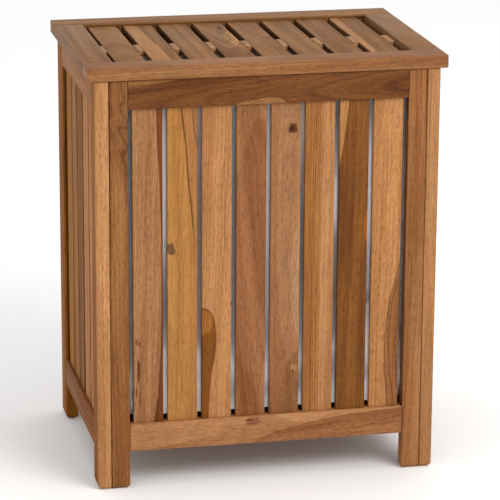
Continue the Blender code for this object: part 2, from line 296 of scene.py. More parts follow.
# ---------------------------------------------------------------- teak
HALF_LENGTH = 0.3
HALF_WIDTH = 0.03
RINGS_PER_METRE = 230
OBJECT_PLACE = 3  # the Texture Coordinate node's output for the object's own coordinates


def rings_round_pith(n, across, deep, length, look, shift):
    """How far each place is from the board's pith line, bent as the tree was, and its two parts."""
    sway = n.noise(n.xyz(n.add(n.mul(across, 14), shift), n.mul(deep, 14), n.mul(length, 2.4)))
    ripple = n.noise(n.xyz(n.add(n.mul(across, 45), shift), n.mul(deep, 45), n.mul(length, 16)))
    bend = n.add(n.swing(sway, look.get("sway", 0.022)), n.swing(ripple, look.get("ripple", 0.004)))
    pith_a, pith_d = look["pith"]
    tilt_a, tilt_d = look["tilt"]
    from_a = n.add(n.sub(n.sub(across, pith_a), n.mul(length, tilt_a)), bend)
    from_d = n.sub(n.sub(deep, pith_d), n.mul(length, tilt_d))
    radius = n.distance(from_a, from_d)
    for where_a, where_l, size, push in look.get("swirls", ()):
        da = n.math("DIVIDE", n.sub(across, where_a), size)
        dl = n.math("DIVIDE", n.sub(length, where_l), size * 2.0)
        radius = n.add(radius, n.mul(n.bell(n.add(n.mul(da, da), n.mul(dl, dl))), push))
    if "curl" in look:
        where, reach, waves, size = look["curl"]
        dl = n.math("DIVIDE", n.sub(length, where), reach)
        turn = n.mul(n.add(n.mul(length, waves), n.mul(across, waves * 0.9)), 2 * math.pi)
        radius = n.add(radius, n.mul(n.mul(n.math("SINE", turn), n.bell(n.mul(dl, dl))), size))
    return radius, from_a, from_d, bend


def add_zone(n, zone, across, length, shift, tone, colour, shade):
    """Another colour on one side of a line along the board, such as heartwood beside sapwood."""
    points = [(0.5 + l / HALF_LENGTH / 2, min(max(0.5 + a / HALF_WIDTH / 2, 0), 1)) for l, a in zone["line"]]
    share = n.span(length, -HALF_LENGTH, HALF_LENGTH, 0.0, 1.0)
    edge = n.span(n.curve(share, points), 0.0, 1.0, -HALF_WIDTH, HALF_WIDTH)
    wavy = n.noise(n.xyz(n.mul(across, 60), shift, n.mul(length, 30)))
    past = n.sub(n.add(across, n.swing(wavy, zone.get("wavy", 0.0015))), edge)
    if zone["side"] == "below":
        past = n.mul(past, -1.0)
    soft = zone.get("soft", 0.0006)
    inside = n.mul(n.step(past, -soft, soft), zone.get("strength", 1.0))
    colour = n.mix(inside, colour, n.mix(tone, rgb(*zone["dark"]), rgb(*zone["light"])))
    if "rim" in zone:
        near = n.sub(1.0, n.step(n.math("ABSOLUTE", past), 0.0, zone.get("rim_width", 0.0014)))
        if "rim_from" in zone:
            near = n.mul(near, n.step(length, *zone["rim_from"]))
        shade = n.dim(shade, near, zone["rim"])
    return colour, shade


def add_line(n, line, across, length, shift, bend, shade):
    """A dark line, either in the grain or painted shade along a seam: its place at the board's middle, slope,
    half width, depth and two ends.
    """
    where, slope, width, dark, low, high = line
    off = n.sub(n.add(across, n.mul(bend, 0.3)), n.add(n.mul(length, slope), where))
    fade = min(0.012, (high - low) / 4)
    on = n.mul(n.step(length, low - fade, low + fade), n.sub(1.0, n.step(length, high - fade, high + fade)))
    broken = n.noise(n.xyz(shift, where * 90, n.mul(length, 55)))
    on = n.mul(on, n.span(broken, 0.35, 0.6, 0.45, 1.0))
    core = n.sub(1.0, n.step(n.math("ABSOLUTE", off), width * 0.2, width))
    return n.dim(shade, n.mul(core, on), dark)


def add_knot(n, knot, across, length, shift, colour, shade):
    """A knot: its place across and along, half width and length, the dark of its heart and rim, its tint."""
    where_a, where_l, half_wide, half_long, dark, rim, tint = knot
    da = n.math("DIVIDE", n.sub(across, where_a), half_wide)
    dl = n.math("DIVIDE", n.sub(length, where_l), half_long)
    ragged = n.noise(n.xyz(n.mul(across, 260), shift, n.mul(length, 200)))
    off = n.add(n.distance(da, dl), n.swing(ragged, 0.8))
    colour = n.mix(n.sub(1.0, n.step(off, 0.75, 1.1)), colour, rgb(*tint))
    shade = n.dim(shade, n.sub(1.0, n.step(off, 0.0, 0.6)), dark)
    ring = n.sub(1.0, n.step(n.math("ABSOLUTE", n.sub(off, 0.9)), 0.0, 0.35))
    return colour, n.dim(shade, ring, rim)


def teak(name, axes, look, seed):
    """Oiled teak as a solid texture. The growth rings run about a pith line beside the board, with
    fibres and pores along it, and look adds what a board shows: heartwood and sapwood borders,
    dark lines, knots and short checks. axes are the board's width, thickness and length."""
    n = Nodes(name)
    parts = n.parts(n.node("ShaderNodeTexCoord", OBJECT_PLACE))
    across, deep, length = (parts[i] for i in axes)
    shift = seed * 1.37 + 0.5
    radius, from_a, from_d, bend = rings_round_pith(n, across, deep, length, look, shift)

    # tone in broad bands that follow the rings, then in narrow streaks
    tone = n.noise(n.xyz(n.mul(radius, 75), n.mul(length, 1.6), shift), 3.0, 0.6)
    contrast = look.get("contrast", 0.16)
    tone = n.step(tone, 0.5 - contrast, 0.5 + contrast)
    colour = n.mix(tone, rgb(*look["dark"]), rgb(*look["light"]))
    streak = n.noise(n.xyz(n.mul(radius, 520), n.mul(length, 11), shift + 3), 3.0, 0.6)
    streak_shade = n.about_one(streak, 0.25, look.get("streak", 0.16))

    # growth rings, each with a dark porous start
    uneven = n.noise(n.xyz(n.mul(radius, 90), shift, n.mul(length, 0.5)), 1.0)
    phase = n.math("FRACT", n.add(n.mul(radius, RINGS_PER_METRE), n.mul(uneven, 3.0)))
    early = n.sub(n.step(phase, 0.0, 0.3), n.step(phase, 0.88, 1.0))
    where_clear = n.noise(n.xyz(n.mul(radius, 30), n.mul(length, 4), shift + 6), 1.0)
    depth = n.mul(n.span(where_clear, 0.35, 0.65, 0.15, 1.0), look.get("ring_depth", 0.20))
    ring_shade = n.dim(1.0, n.sub(1.0, early), depth)

    # fibres, and pores that crowd where a ring starts
    along = n.add(length, shift)
    shifted = n.add(from_a, shift)
    fibre = n.noise(n.grain(shifted, from_d, length, 620, 26), 4.0, 0.7)
    fibre_shade = n.about_one(fibre, 0.2, 0.20)
    dashes = n.noise(n.grain(shifted, from_d, length, 1000, 95), 2.0, 0.6)
    crowd = n.mul(n.sub(1.0, early), 0.06)
    pores = n.step(n.add(dashes, crowd), 0.53, 0.66)
    pore_shade = n.dim(1.0, pores, look.get("pores", 0.34))

    # slow mottle, and the flecks of a sanded and oiled face
    mottle = n.noise(n.grain(across, deep, along, 30, 7), 3.0, 0.6)
    fleck = n.noise(n.grain(across, deep, along, 430, 150), 2.0, 0.6)
    mottle_shade = n.about_one(mottle, 0.2, look.get("mottle", 0.08))
    fleck_shade = n.about_one(fleck, 0.2, look.get("fleck", 0.09))
    shade = n.mul(n.mul(ring_shade, fibre_shade), n.mul(pore_shade, mottle_shade))
    shade = n.mul(n.mul(shade, fleck_shade), streak_shade)

    for zone in look.get("zones", ()):
        colour, shade = add_zone(n, zone, across, length, shift, tone, colour, shade)
    if "painted_side_shade" in look:
        # painted shade: the board's side faces, which look into the gaps between slats, are darkened as if in
        # shadow
        beside = n.step(n.math("ABSOLUTE", across), 0.0200, 0.0208)
        shade = n.dim(shade, beside, look["painted_side_shade"])
    for line in look.get("lines", ()):
        shade = add_line(n, line, across, length, shift, bend, shade)
    for knot in look.get("knots", ()):
        colour, shade = add_knot(n, knot, across, length, shift, colour, shade)

    # what is darker is also redder
    shade = n.math("MAXIMUM", n.mul(shade, 1.06), 0.05)
    tinted = n.xyz(n.math("POWER", shade, 0.85), shade, n.math("POWER", shade, 1.25))
    n.put(n.shader.inputs["Base Color"], n.mix(1.0, colour, tinted, "MULTIPLY"))
    n.put(n.shader.inputs["Roughness"], n.span(fibre, 0.2, 0.8, 0.50, 0.64))
    n.shader.inputs["Specular IOR Level"].default_value = look.get("gloss", 0.16)
    height = n.sub(n.mul(fibre, 0.35), n.mul(pores, 0.65))
    n.bump(0.3, 0.0005, height)
    return n.material


# ---------------------------------------------------------------- what each board looks like
# Colours are display values as rgb() takes them. Places on a board are metres from its middle, along it
# and across it. The outlines follow the figure of the wood in the photo.
SHADES = {
    "golden": {"light": (182, 131, 76), "dark": (158, 107, 58)},
    "peach": {"light": (193, 139, 92), "dark": (172, 117, 73)},
    "rosy": {"light": (176, 128, 88), "dark": (150, 99, 64)},
    "red": {"light": (160, 108, 71), "dark": (138, 86, 52)},
    "taupe": {"light": (170, 122, 84), "dark": (150, 102, 67)},
    "umber": {"light": (137, 88, 50), "dark": (112, 69, 35)},
    "lid": {"light": (158, 114, 74), "dark": (134, 92, 57)},
    "side_amber": {"light": (186, 128, 72), "dark": (157, 103, 54)},
    "side_tan": {"light": (178, 127, 80), "dark": (150, 101, 61)},
    "side_brown": {"light": (156, 105, 60), "dark": (130, 84, 44)},
    "side_pale": {"light": (204, 146, 98), "dark": (178, 122, 78)},
}
FLAT_SAWN = {"pith": (0.004, -0.055), "tilt": (0.02, 0.055)}
QUARTER_SAWN = {"pith": (0.09, 0.02), "tilt": (0.03, 0.0)}


def above(light, dark, line, **more):
    """A zone of another colour past a line of (along, across) points."""
    return {"side": "above", "light": light, "dark": dark, "line": line, **more}


def below(light, dark, line, **more):
    """A zone of another colour short of a line of (along, across) points."""
    return {"side": "below", "light": light, "dark": dark, "line": line, **more}


LOOKS = {
    "front_slat_1": {
        **SHADES["rosy"], **QUARTER_SAWN, "fleck": 0.14, "mottle": 0.1, "streak": 0.18,
        "light": (181, 130, 90), "dark": (158, 107, 69),
        "zones": [
            above((132, 76, 40), (108, 58, 28), line=[(-0.3, 0.002), (-0.224, 0.008), (-0.202, 0.0115),
                  (-0.174, 0.0145), (-0.087, 0.0185), (-0.03, 0.019), (0.056, 0.0185), (0.224, 0.012),
                  (0.3, 0.01)], rim=0.35),
            below((194, 145, 98), (180, 130, 86), line=[(-0.3, -0.019), (0.1, -0.013), (0.3, -0.009)],
                  soft=0.003, strength=0.8),
        ],
        "knots": [(-0.0136, -0.148, 0.0019, 0.0165, 0.0, 0.62, (116, 64, 38)),
                  (-0.016, -0.106, 0.0022, 0.005, 0.3, 0.45, (150, 94, 64)),
                  (-0.0115, -0.11, 0.0014, 0.004, 0.3, 0.4, (150, 94, 64)),
                  (-0.0165, -0.18, 0.0014, 0.006, 0.3, 0.5, (146, 90, 60)),
                  (-0.012, -0.19, 0.0012, 0.011, 0.2, 0.45, (150, 96, 64))],
        "lines": [(0.004, 0.0, 0.0007, 0.35, -0.1, 0.2), (-0.004, 0.01, 0.0007, 0.35, -0.05, 0.15),
                  (-0.0195, 0.0, 0.0008, 0.5, -0.2, -0.1), (-0.0235, -0.11, 0.0007, 0.6, -0.132, -0.102),
                  (0.003, 0.11, 0.0007, 0.6, -0.18, -0.164), (-0.0075, 0.02, 0.0008, 0.4, -0.22, -0.12)],
    },
    "front_slat_2": {
        "light": (186, 131, 74), "dark": (168, 114, 60), "pith": (-0.1, 0.02), "tilt": (0.02, 0.0),
        "ring_depth": 0.12, "streak": 0.13, "pores": 0.24,
        "zones": [
            above((180, 124, 74), (164, 108, 62), line=[(-0.3, 0.01), (-0.12, 0.0115), (-0.064, 0.0135),
                  (-0.02, 0.016), (0.023, 0.0175), (0.052, 0.0155), (0.13, 0.0075), (0.167, 0.005),
                  (0.222, -0.001), (0.3, -0.004)], rim=0.78, rim_width=0.0021, rim_from=(-0.05, 0.1)),
            above((156, 101, 56), (146, 92, 50), line=[(-0.3, 0.03), (0.13, 0.03), (0.155, 0.0225),
                  (0.196, 0.016), (0.222, 0.0135), (0.3, 0.008)], rim=0.6, strength=0.5),
            below((192, 137, 78), (182, 126, 68), line=[(-0.3, -0.004), (-0.02, -0.006), (0.1, -0.012),
                  (0.3, -0.016)], soft=0.0015, strength=0.7),
        ],
        "lines": [(-0.0109, -0.104, 0.0006, 0.5, -0.2, -0.145),
                  (-0.0163, -0.0913, 0.0012, 0.25, -0.21, -0.09), (-0.0045, 0.03, 0.0008, 0.3, 0.03, 0.1),
                  (-0.016, 0.02, 0.001, 0.2, 0.06, 0.22)],
        "knots": [(-0.0166, 0.0262, 0.0056, 0.0074, 0.1, 0.1, (124, 87, 58)),
                  (-0.0146, 0.0215, 0.0054, 0.0056, 0.12, 0.0, (124, 87, 58))],
    },
    "front_slat_3": {
        **SHADES["peach"], **QUARTER_SAWN, "streak": 0.12, "ring_depth": 0.1, "light": (196, 140, 92),
        "dark": (178, 122, 76),
        "zones": [
            below((138, 84, 38), (118, 68, 28), line=[(-0.3, -0.0125), (-0.195, -0.0105), (-0.166, -0.008),
                  (-0.108, -0.001), (-0.095, -0.0015), (-0.077, -0.0045), (-0.068, -0.01),
                  (-0.062, -0.0165), (-0.06, -0.03), (0.3, -0.03)], rim=0.3),
            below((172, 114, 58), (156, 98, 46), line=[(-0.3, -0.03), (-0.118, -0.03), (-0.102, -0.02),
                  (-0.088, -0.0065), (-0.077, -0.0065), (-0.069, -0.013), (-0.064, -0.0205),
                  (-0.062, -0.03), (0.3, -0.03)], strength=0.8, soft=0.0025),
        ],
        "lines": [(0.0065, 0.0, 0.0008, 0.45, 0.08, 0.24), (0.0105, 0.0, 0.0006, 0.4, 0.02, 0.24),
                  (-0.0195, 0.0, 0.0006, 0.4, 0.06, 0.24)],
        "knots": [(0.0205, -0.058, 0.0012, 0.003, 0.7, 0.15, (80, 42, 24))],
    },
    "front_slat_4": {
        **SHADES["red"], "pith": (0.03, -0.05), "tilt": (-0.03, 0.05), "streak": 0.11, "ring_depth": 0.12,
        "swirls": [(0.012, 0.15, 0.016, 0.003)], "mottle": 0.1, "light": (164, 111, 74),
        "dark": (142, 90, 56),
        "zones": [
            below((152, 99, 62), (130, 80, 46), line=[(-0.3, 0.03), (-0.216, 0.014), (-0.182, 0.0055),
                  (-0.138, -0.017), (-0.12, -0.03), (0.3, -0.03)], soft=0.003, strength=0.75),
            above((180, 126, 80), (166, 112, 70), line=[(-0.3, 0.03), (-0.184, 0.024), (-0.17, 0.0165),
                  (-0.155, 0.0175), (-0.14, 0.024), (-0.12, 0.03), (0.3, 0.03)], soft=0.0016, strength=0.8),
            below((176, 126, 84), (160, 110, 72), line=[(-0.3, -0.03), (0.1, -0.03), (0.13, -0.02),
                  (0.17, -0.008), (0.2, 0.004), (0.23, 0.03), (0.3, 0.03)], soft=0.004, strength=0.6),
        ],
        "lines": [(-0.03, 0.17, 0.0006, 0.3, 0.11, 0.2)],
    },
    "front_slat_5": {
        **SHADES["taupe"], "pith": (0.002, -0.05), "tilt": (0.05, 0.03), "ring_depth": 0.16, "streak": 0.13,
        "swirls": [(0.0093, 0.187, 0.01, 0.009), (0.0141, -0.158, 0.01, 0.009),
                   (0.006, -0.12, 0.014, -0.006)],
        "knots": [(0.0093, 0.1874, 0.0066, 0.007, 0.85, 0.35, (106, 60, 37)),
                  (0.0141, -0.158, 0.005, 0.007, 0.1, 0.15, (184, 132, 92)),
                  (0.0128, -0.162, 0.0014, 0.0022, 0.5, 0.15, (104, 60, 38))],
        "lines": [(-0.1594, 0.9, 0.0008, 0.6, 0.18, 0.194), (0.1405, -0.7, 0.0008, 0.55, 0.1805, 0.1945),
                  (-0.0035, 0.0, 0.0006, 0.35, 0.04, 0.19)],
        "zones": [
            below((160, 108, 71), (142, 91, 56), line=[(-0.3, 0.012), (-0.18, 0.01), (-0.1, -0.006),
                  (0.3, -0.008)], soft=0.004, strength=0.8),
            above((190, 142, 104), (172, 124, 88), line=[(-0.3, 0.03), (-0.13, 0.03), (-0.11, 0.014),
                  (-0.03, 0.008), (0.03, 0.012), (0.08, 0.03), (0.3, 0.03)], soft=0.004, strength=0.7),
        ],
    },
    "front_slat_6": {
        **SHADES["golden"], "pith": (-0.12, 0.01), "tilt": (0.0, 0.0), "streak": 0.16, "sway": 0.01,
        "light": (180, 124, 72), "dark": (158, 103, 56), "pores": 0.26,
        "zones": [
            above((192, 138, 92), (176, 121, 76), line=[(-0.3, 0.0), (0.0, 0.002), (0.3, 0.0)], soft=0.003),
        ],
        "lines": [(-0.0095, 0.004, 0.0009, 0.55, -0.3, 0.3), (-0.0057, 0.0, 0.0009, 0.68, 0.09, 0.215),
                  (-0.003, 0.0, 0.0008, 0.65, -0.22, -0.01), (-0.0068, 0.0, 0.0006, 0.5, -0.3, 0.1),
                  (0.0155, 0.0, 0.0006, 0.3, -0.2, 0.3), (0.001, 0.0, 0.0005, 0.35, -0.3, -0.05)],
    },
    "front_slat_7": {
        **SHADES["umber"], "pith": (0.06, -0.03), "tilt": (0.03, 0.03), "contrast": 0.22, "mottle": 0.16,
        "light": (136, 86, 44), "dark": (110, 66, 30), "streak": 0.2,
        "zones": [
            below((190, 136, 84), (172, 114, 64), line=[(-0.3, -0.03), (0.1, -0.03), (0.13, -0.0205),
                  (0.224, -0.0075), (0.3, 0.0)], rim=0.3),
            below((150, 98, 52), (130, 82, 42), line=[(-0.3, 0.03), (-0.22, 0.03), (-0.15, 0.01),
                  (0.0, -0.02), (0.03, -0.03), (0.3, -0.03)], soft=0.012, strength=0.8),
            above((176, 102, 48), (158, 88, 40), line=[(-0.3, 0.03), (0.0, 0.03), (0.03, 0.017),
                  (0.055, 0.0165), (0.085, 0.03), (0.3, 0.03)], soft=0.002, strength=0.8),
        ],
        "lines": [(0.007, 0.0, 0.0012, 0.35, 0.08, 0.15), (0.011, 0.0, 0.0008, 0.4, 0.07, 0.13),
                  (0.003, 0.0, 0.0008, 0.35, 0.09, 0.14), (-0.004, 0.02, 0.0007, 0.3, 0.0, 0.12)],
    },
    "front_slat_8": {
        **SHADES["peach"], "pith": (-0.09, 0.03), "tilt": (0.02, 0.0), "streak": 0.12, "fleck": 0.12,
        "light": (199, 143, 92), "dark": (180, 123, 74), "pores": 0.4,
        "zones": [
            above((166, 114, 72), (148, 96, 58), line=[(-0.3, 0.007), (-0.222, 0.0055), (-0.199, 0.004),
                  (-0.175, 0.0015), (-0.146, 0.0005), (-0.116, 0.001), (-0.087, 0.0035), (-0.028, 0.0165),
                  (0.04, 0.03), (0.3, 0.03)], rim=0.55),
            above((158, 106, 66), (142, 92, 54), line=[(-0.3, 0.018), (-0.219, 0.0145), (-0.16, 0.008),
                  (-0.125, 0.0065), (-0.096, 0.0075), (-0.037, 0.019), (0.0, 0.03), (0.3, 0.03)], rim=0.5,
                  strength=0.5),
            above((150, 98, 60), (136, 86, 50), line=[(-0.3, 0.03), (-0.19, 0.02), (-0.16, 0.0165),
                  (-0.116, 0.016), (-0.072, 0.021), (-0.04, 0.03), (0.3, 0.03)], rim=0.4, strength=0.5),
        ],
        "lines": [(0.001, 0.0, 0.001, 0.35, 0.1, 0.17), (0.005, 0.01, 0.0008, 0.35, 0.07, 0.16),
                  (-0.004, -0.01, 0.0008, 0.35, 0.06, 0.14), (-0.009, 0.0, 0.0008, 0.3, 0.08, 0.13)],
    },
    "front_stile_left": {
        **SHADES["red"], "pith": (0.05, 0.03), "tilt": (-0.02, 0.0), "light": (166, 115, 70),
        "dark": (142, 92, 53), "curl": (0.225, 0.03, 30, 0.0045), "ring_depth": 0.34,
        "zones": [
            above((142, 92, 56), (118, 72, 40), line=[(-0.3, 0.03), (0.1, 0.03), (0.2, -0.02),
                  (0.3, -0.03)], soft=0.03, strength=0.8),
        ],
        # the two lines at the stile's long edges are painted shade in the seams beside it
        "lines": [(-0.0128, 0.0, 0.0016, 0.75, -0.4, 0.4), (0.0128, 0.0, 0.001, 0.3, -0.4, 0.4)],
    },
    "front_stile_right": {
        "pith": (-0.05, 0.04), "tilt": (0.035, 0.0), "light": (174, 121, 78), "dark": (156, 103, 62),
        "zones": [
            above((160, 108, 68), (140, 89, 52), line=[(-0.3, 0.03), (0.0, 0.03), (0.06, -0.02),
                  (0.3, -0.03)], soft=0.03, strength=0.9),
            below((166, 113, 72), (150, 98, 60), line=[(-0.3, -0.02), (-0.17, -0.009), (-0.12, -0.0085),
                  (-0.06, -0.006), (0.015, -0.004), (0.03, -0.008), (0.036, -0.02), (0.3, -0.02)],
                  rim=0.45),
        ],
        # the line at 0.0128 across, on the stile's edge by the leg, is painted shade in that seam
        "lines": [(-0.002, 0.0, 0.0008, 0.5, 0.14, 0.3), (0.004, 0.0, 0.0006, 0.4, 0.2, 0.3),
                  (0.0128, 0.0, 0.0016, 0.75, -0.4, 0.4), (0.0, -0.02, 0.0006, 0.4, -0.1, 0.0)],
    },
    "leg_front_left": {
        "pith": (0.02, 0.12), "tilt": (0.0, 0.0), "light": (204, 150, 103), "dark": (184, 130, 86),
        "ring_depth": 0.1, "sway": 0.008, "fleck": 0.06, "gloss": 0.03,
        "zones": [
            above((168, 110, 60), (146, 90, 43), line=[(-0.3, -0.012), (0.3, -0.0135)], soft=0.0012),
        ],
    },
    "leg_rear_left": {
        "pith": (0.08, 0.03), "tilt": (0.02, 0.0), "light": (168, 110, 60), "dark": (146, 92, 46),
        "gloss": 0.03,
    },
    "leg_front_right": {
        "pith": (0.02, -0.1), "tilt": (0.0, 0.0), "light": (186, 134, 89), "dark": (168, 116, 74),
        "sway": 0.01,
    },
    "front_rail_bottom": {
        "pith": (0.012, 0.06), "tilt": (0.05, 0.02), "light": (184, 131, 88), "dark": (168, 116, 76),
        "fleck": 0.13, "swirls": [(0.006, -0.02, 0.012, 0.006)], "sway": 0.03,
        "zones": [
            below((166, 113, 74), (142, 91, 55), line=[(-0.3, -0.03), (-0.04, -0.03), (-0.012, -0.014),
                  (0.044, 0.002), (0.101, 0.011), (0.186, 0.0175), (0.3, 0.024)], rim=0.35, wavy=0.004,
                  soft=0.0012),
            above((196, 144, 100), (182, 128, 86), line=[(-0.3, 0.03), (0.0, 0.024), (0.05, 0.008),
                  (0.101, 0.0125), (0.186, 0.0185), (0.3, 0.024)], soft=0.001, strength=0.8),
        ],
        "knots": [(0.0125, -0.02, 0.006, 0.011, 0.08, 0.15, (154, 98, 68)),
                  (0.015, -0.026, 0.0016, 0.006, 0.3, 0.15, (116, 66, 40))],
        "lines": [(-0.045, 0.27, 0.001, 0.5, 0.1, 0.21), (-0.006, 0.08, 0.0007, 0.5, -0.01, 0.09),
                  (-0.011, 0.12, 0.0007, 0.45, 0.0, 0.12), (-0.015, 0.05, 0.0006, 0.4, 0.02, 0.14)],
    },
    "front_rail_top": {
        "pith": (-0.01, -0.05), "tilt": (0.04, 0.05), "light": (126, 79, 46), "dark": (104, 62, 34),
        "ring_depth": 0.28, "sway": 0.03, "ripple": 0.008, "fleck": 0.12, "mottle": 0.14,
        "zones": [
            below((164, 113, 72), (142, 92, 56), line=[(-0.3, -0.03), (-0.06, -0.026), (-0.045, -0.017),
                  (-0.02, -0.0125), (0.005, -0.0105), (0.018, -0.014), (0.03, -0.024), (0.3, -0.03)],
                  soft=0.0012, rim=0.35),
            above((160, 108, 66), (138, 88, 50), line=[(-0.3, 0.008), (-0.19, 0.01), (-0.15, 0.015),
                  (-0.12, 0.021), (-0.08, 0.03), (0.3, 0.03)], soft=0.002),
        ],
    },
    "lid_rail_front": {
        "pith": (0.0, -0.09), "tilt": (0.02, 0.02), "light": (170, 120, 79), "dark": (148, 99, 62),
        "sway": 0.03, "ripple": 0.006, "ring_depth": 0.22, "streak": 0.2, "fleck": 0.11, "mottle": 0.11,
        "lines": [(-0.008, 0.02, 0.0007, 0.5, -0.22, -0.05), (0.002, -0.02, 0.0006, 0.45, -0.1, 0.1),
                  (-0.012, -0.015, 0.0006, 0.45, 0.02, 0.2), (0.006, 0.01, 0.0006, 0.4, 0.05, 0.24)],
    },
    "lid_batten": {
        "light": (190, 142, 98), "dark": (168, 120, 80), "pith": (0.09, 0.02), "tilt": (0.0, 0.0),
    },
    # the lid slats below have painted shade on their side faces, where they look into the gaps between them
    "lid_slat_2": {
        **SHADES["lid"], **QUARTER_SAWN, "painted_side_shade": 0.6, "gloss": 0.08,
        "zones": [
            below((192, 142, 94), (176, 126, 82), line=[(-0.3, 0.012), (0.3, -0.006)], rim=0.3),
        ],
    },
    "lid_slat_4": {
        **SHADES["lid"], **FLAT_SAWN, "swirls": [(0.006, 0.07, 0.012, 0.004)], "ring_depth": 0.34,
        "contrast": 0.1, "mottle": 0.2, "ripple": 0.009, "painted_side_shade": 0.6, "gloss": 0.08,
        "lines": [(0.023, -0.29, 0.0026, 0.45, 0.02, 0.12), (0.03, -0.27, 0.0016, 0.4, 0.05, 0.13),
                  (0.012, -0.25, 0.0018, 0.35, -0.01, 0.09), (0.004, -0.16, 0.0012, 0.3, -0.07, 0.03)],
        "knots": [(0.011, 0.088, 0.005, 0.012, 0.2, 0.2, (104, 70, 45))],
        "zones": [
            above((186, 138, 90), (150, 102, 64), line=[(-0.3, 0.03), (-0.06, 0.012), (0.02, 0.003),
                  (0.06, 0.012), (0.09, 0.03), (0.3, 0.03)], soft=0.003, rim=0.3),
        ],
    },
    "lid_slat_8": {
        **SHADES["lid"], **QUARTER_SAWN, "painted_side_shade": 0.6, "gloss": 0.08,
        "zones": [
            below((192, 142, 96), (180, 130, 86), line=[(-0.3, -0.012), (-0.13, -0.0105), (0.3, -0.005)],
                  rim=0.3),
        ],
    },
}


SIDE_SHADES = ("side_pale", "side_pale", "side_brown", "side_tan", "side_amber")
SEED_STEP = 7919


def look_of(name, slot, seed):
    """A board's look. A board with none of its own gets a shade and a sawing by chance."""
    if name in LOOKS:
        return LOOKS[name]
    chance = random.Random(seed * SEED_STEP)
    if slot == "teak_lid":
        shade = SHADES["lid"]
    elif name.startswith("side_slat"):
        shade = SHADES[SIDE_SHADES[int(name[-1]) - 1]]
    else:
        shade = SHADES[chance.choice(["golden", "rosy", "red", "taupe"])]
    side = chance.choice((-1, 1))
    if chance.random() < 0.5:
        sawing = {"pith": (side * chance.uniform(0.05, 0.11), chance.uniform(0.01, 0.04))}
        sawing["tilt"] = (chance.uniform(-0.04, 0.04), 0.0)
    else:
        sawing = {"pith": (side * chance.uniform(0.0, 0.015), -chance.uniform(0.035, 0.06))}
        sawing["tilt"] = (chance.uniform(-0.04, 0.04), side * chance.uniform(0.03, 0.08))
    extra = {}
    # lid and side slats get painted shade on their side faces, where they look into the gaps between them
    if name.startswith("lid_slat"):
        extra = {"painted_side_shade": 0.6, "mottle": 0.14, "fleck": 0.12, "gloss": 0.08}
    elif name.startswith("side_slat"):
        extra = {"painted_side_shade": 0.4, "gloss": 0.03}
    elif name.startswith(("side_rail", "leg_rear")):
        extra = {"gloss": 0.03}
    return {**shade, **sawing, **extra}


# ---------------------------------------------------------------- boards
def add_box(bm, low, high):
    low, high = Vector(low), Vector(high)
    size, middle = high - low, (high + low) / 2
    for vert in bmesh.ops.create_cube(bm, size=1.0)["verts"]:
        vert.co = Vector(a * b for a, b in zip(vert.co, size)) + middle


def link(name, bm):
    bm.normal_update()
    bmesh.ops.recalc_face_normals(bm, faces=bm.faces)
    mesh = bpy.data.meshes.new(name)
    bm.to_mesh(mesh)
    bm.free()
    return add_object(name, mesh)


def cut_away(made, bm, own_overlaps=False):
    """Cuts the shapes in bm out of an object."""
    tool = link("cut_" + made.name, bm)
    cut = made.modifiers.new("cut", "BOOLEAN")
    cut.object = tool
    cut.solver = "EXACT"
    cut.use_self = own_overlaps
    bpy.context.view_layer.update()
    apply_modifiers(made)
    bpy.data.objects.remove(tool)


def chamfer_foot(bm, x_sides):
    """Takes the corners off a board's lower end: those along X, and those along Y on the given sides."""
    floor = min(vert.co.z for vert in bm.verts)
    edges = []
    for edge in bm.edges:
        middle = (edge.verts[0].co + edge.verts[1].co) / 2
        if middle.z - floor < TINY and (abs(middle.x) < TINY or math.copysign(1, middle.x) in x_sides):
            edges.append(edge)
    bmesh.ops.bevel(bm, geom=edges, offset=FOOT_CHAMFER, segments=1, affect="EDGES")


def board(name, low, high, tenon_axis=None, foot_sides=None):
    """A board with rounded edges and, on request, a tenon at each end or a foot, about its own middle."""
    middle = (low + high) / 2
    bm = bmesh.new()
    add_box(bm, low - middle, high - middle)
    if foot_sides is not None:
        chamfer_foot(bm, foot_sides)
    bmesh.ops.bevel(bm, geom=bm.edges[:], offset=EDGE_ROUND, segments=EDGE_STEPS, profile=0.5, affect="EDGES")
    if tenon_axis is not None:
        for way in (-1, 1):
            bm.normal_update()
            end = max(bm.faces, key=lambda f: way * f.calc_center_median()[tenon_axis] + f.calc_area())
            bmesh.ops.inset_individual(bm, faces=[end], thickness=SHOULDER - EDGE_ROUND, use_even_offset=True)
            drawn = bmesh.ops.extrude_discrete_faces(bm, faces=[end])["faces"][0]
            for vert in drawn.verts:
                vert.co[tenon_axis] += way * TENON_LENGTH
    made = link(name, bm)
    made.location = middle
    made.data.shade_smooth()
    made.data.set_sharp_from_angle(angle=math.radians(50))
    return made


def boxes_meet(a, b):
    return all(a[0][i] < b[1][i] and b[0][i] < a[1][i] for i in range(3))


def grown(box, by):
    return Vector(v - by for v in box[0]), Vector(v + by for v in box[1])


def cut_mortises(made, low, high, inserts):
    """Cuts a mortise for every insert, a box in the world, that reaches into this board."""
    found = [grown(b, MORTISE_SLACK) for b in inserts if boxes_meet((low, high), b)]
    if not found:
        return
    bm = bmesh.new()
    for b_low, b_high in found:
        add_box(bm, b_low, b_high)
    cut_away(made, bm)


def visible_box(low, high, tenon_axis=None):
    """A board's box without its tenons."""
    low, high = low.copy(), high.copy()
    if tenon_axis is not None:
        low[tenon_axis] += TENON_LENGTH
        high[tenon_axis] -= TENON_LENGTH
    return low, high


def tenons_of(low, high, axis):
    """The boxes of a rail's two tenons."""
    boxes = []
    for end in (0, 1):
        b_low, b_high = low.copy(), high.copy()
        for i in range(3):
            if i != axis:
                b_low[i] += SHOULDER
                b_high[i] -= SHOULDER
        if end:
            b_low[axis] = b_high[axis] - TENON_LENGTH
        else:
            b_high[axis] = b_low[axis] + TENON_LENGTH
        boxes.append((b_low, b_high))
    return boxes


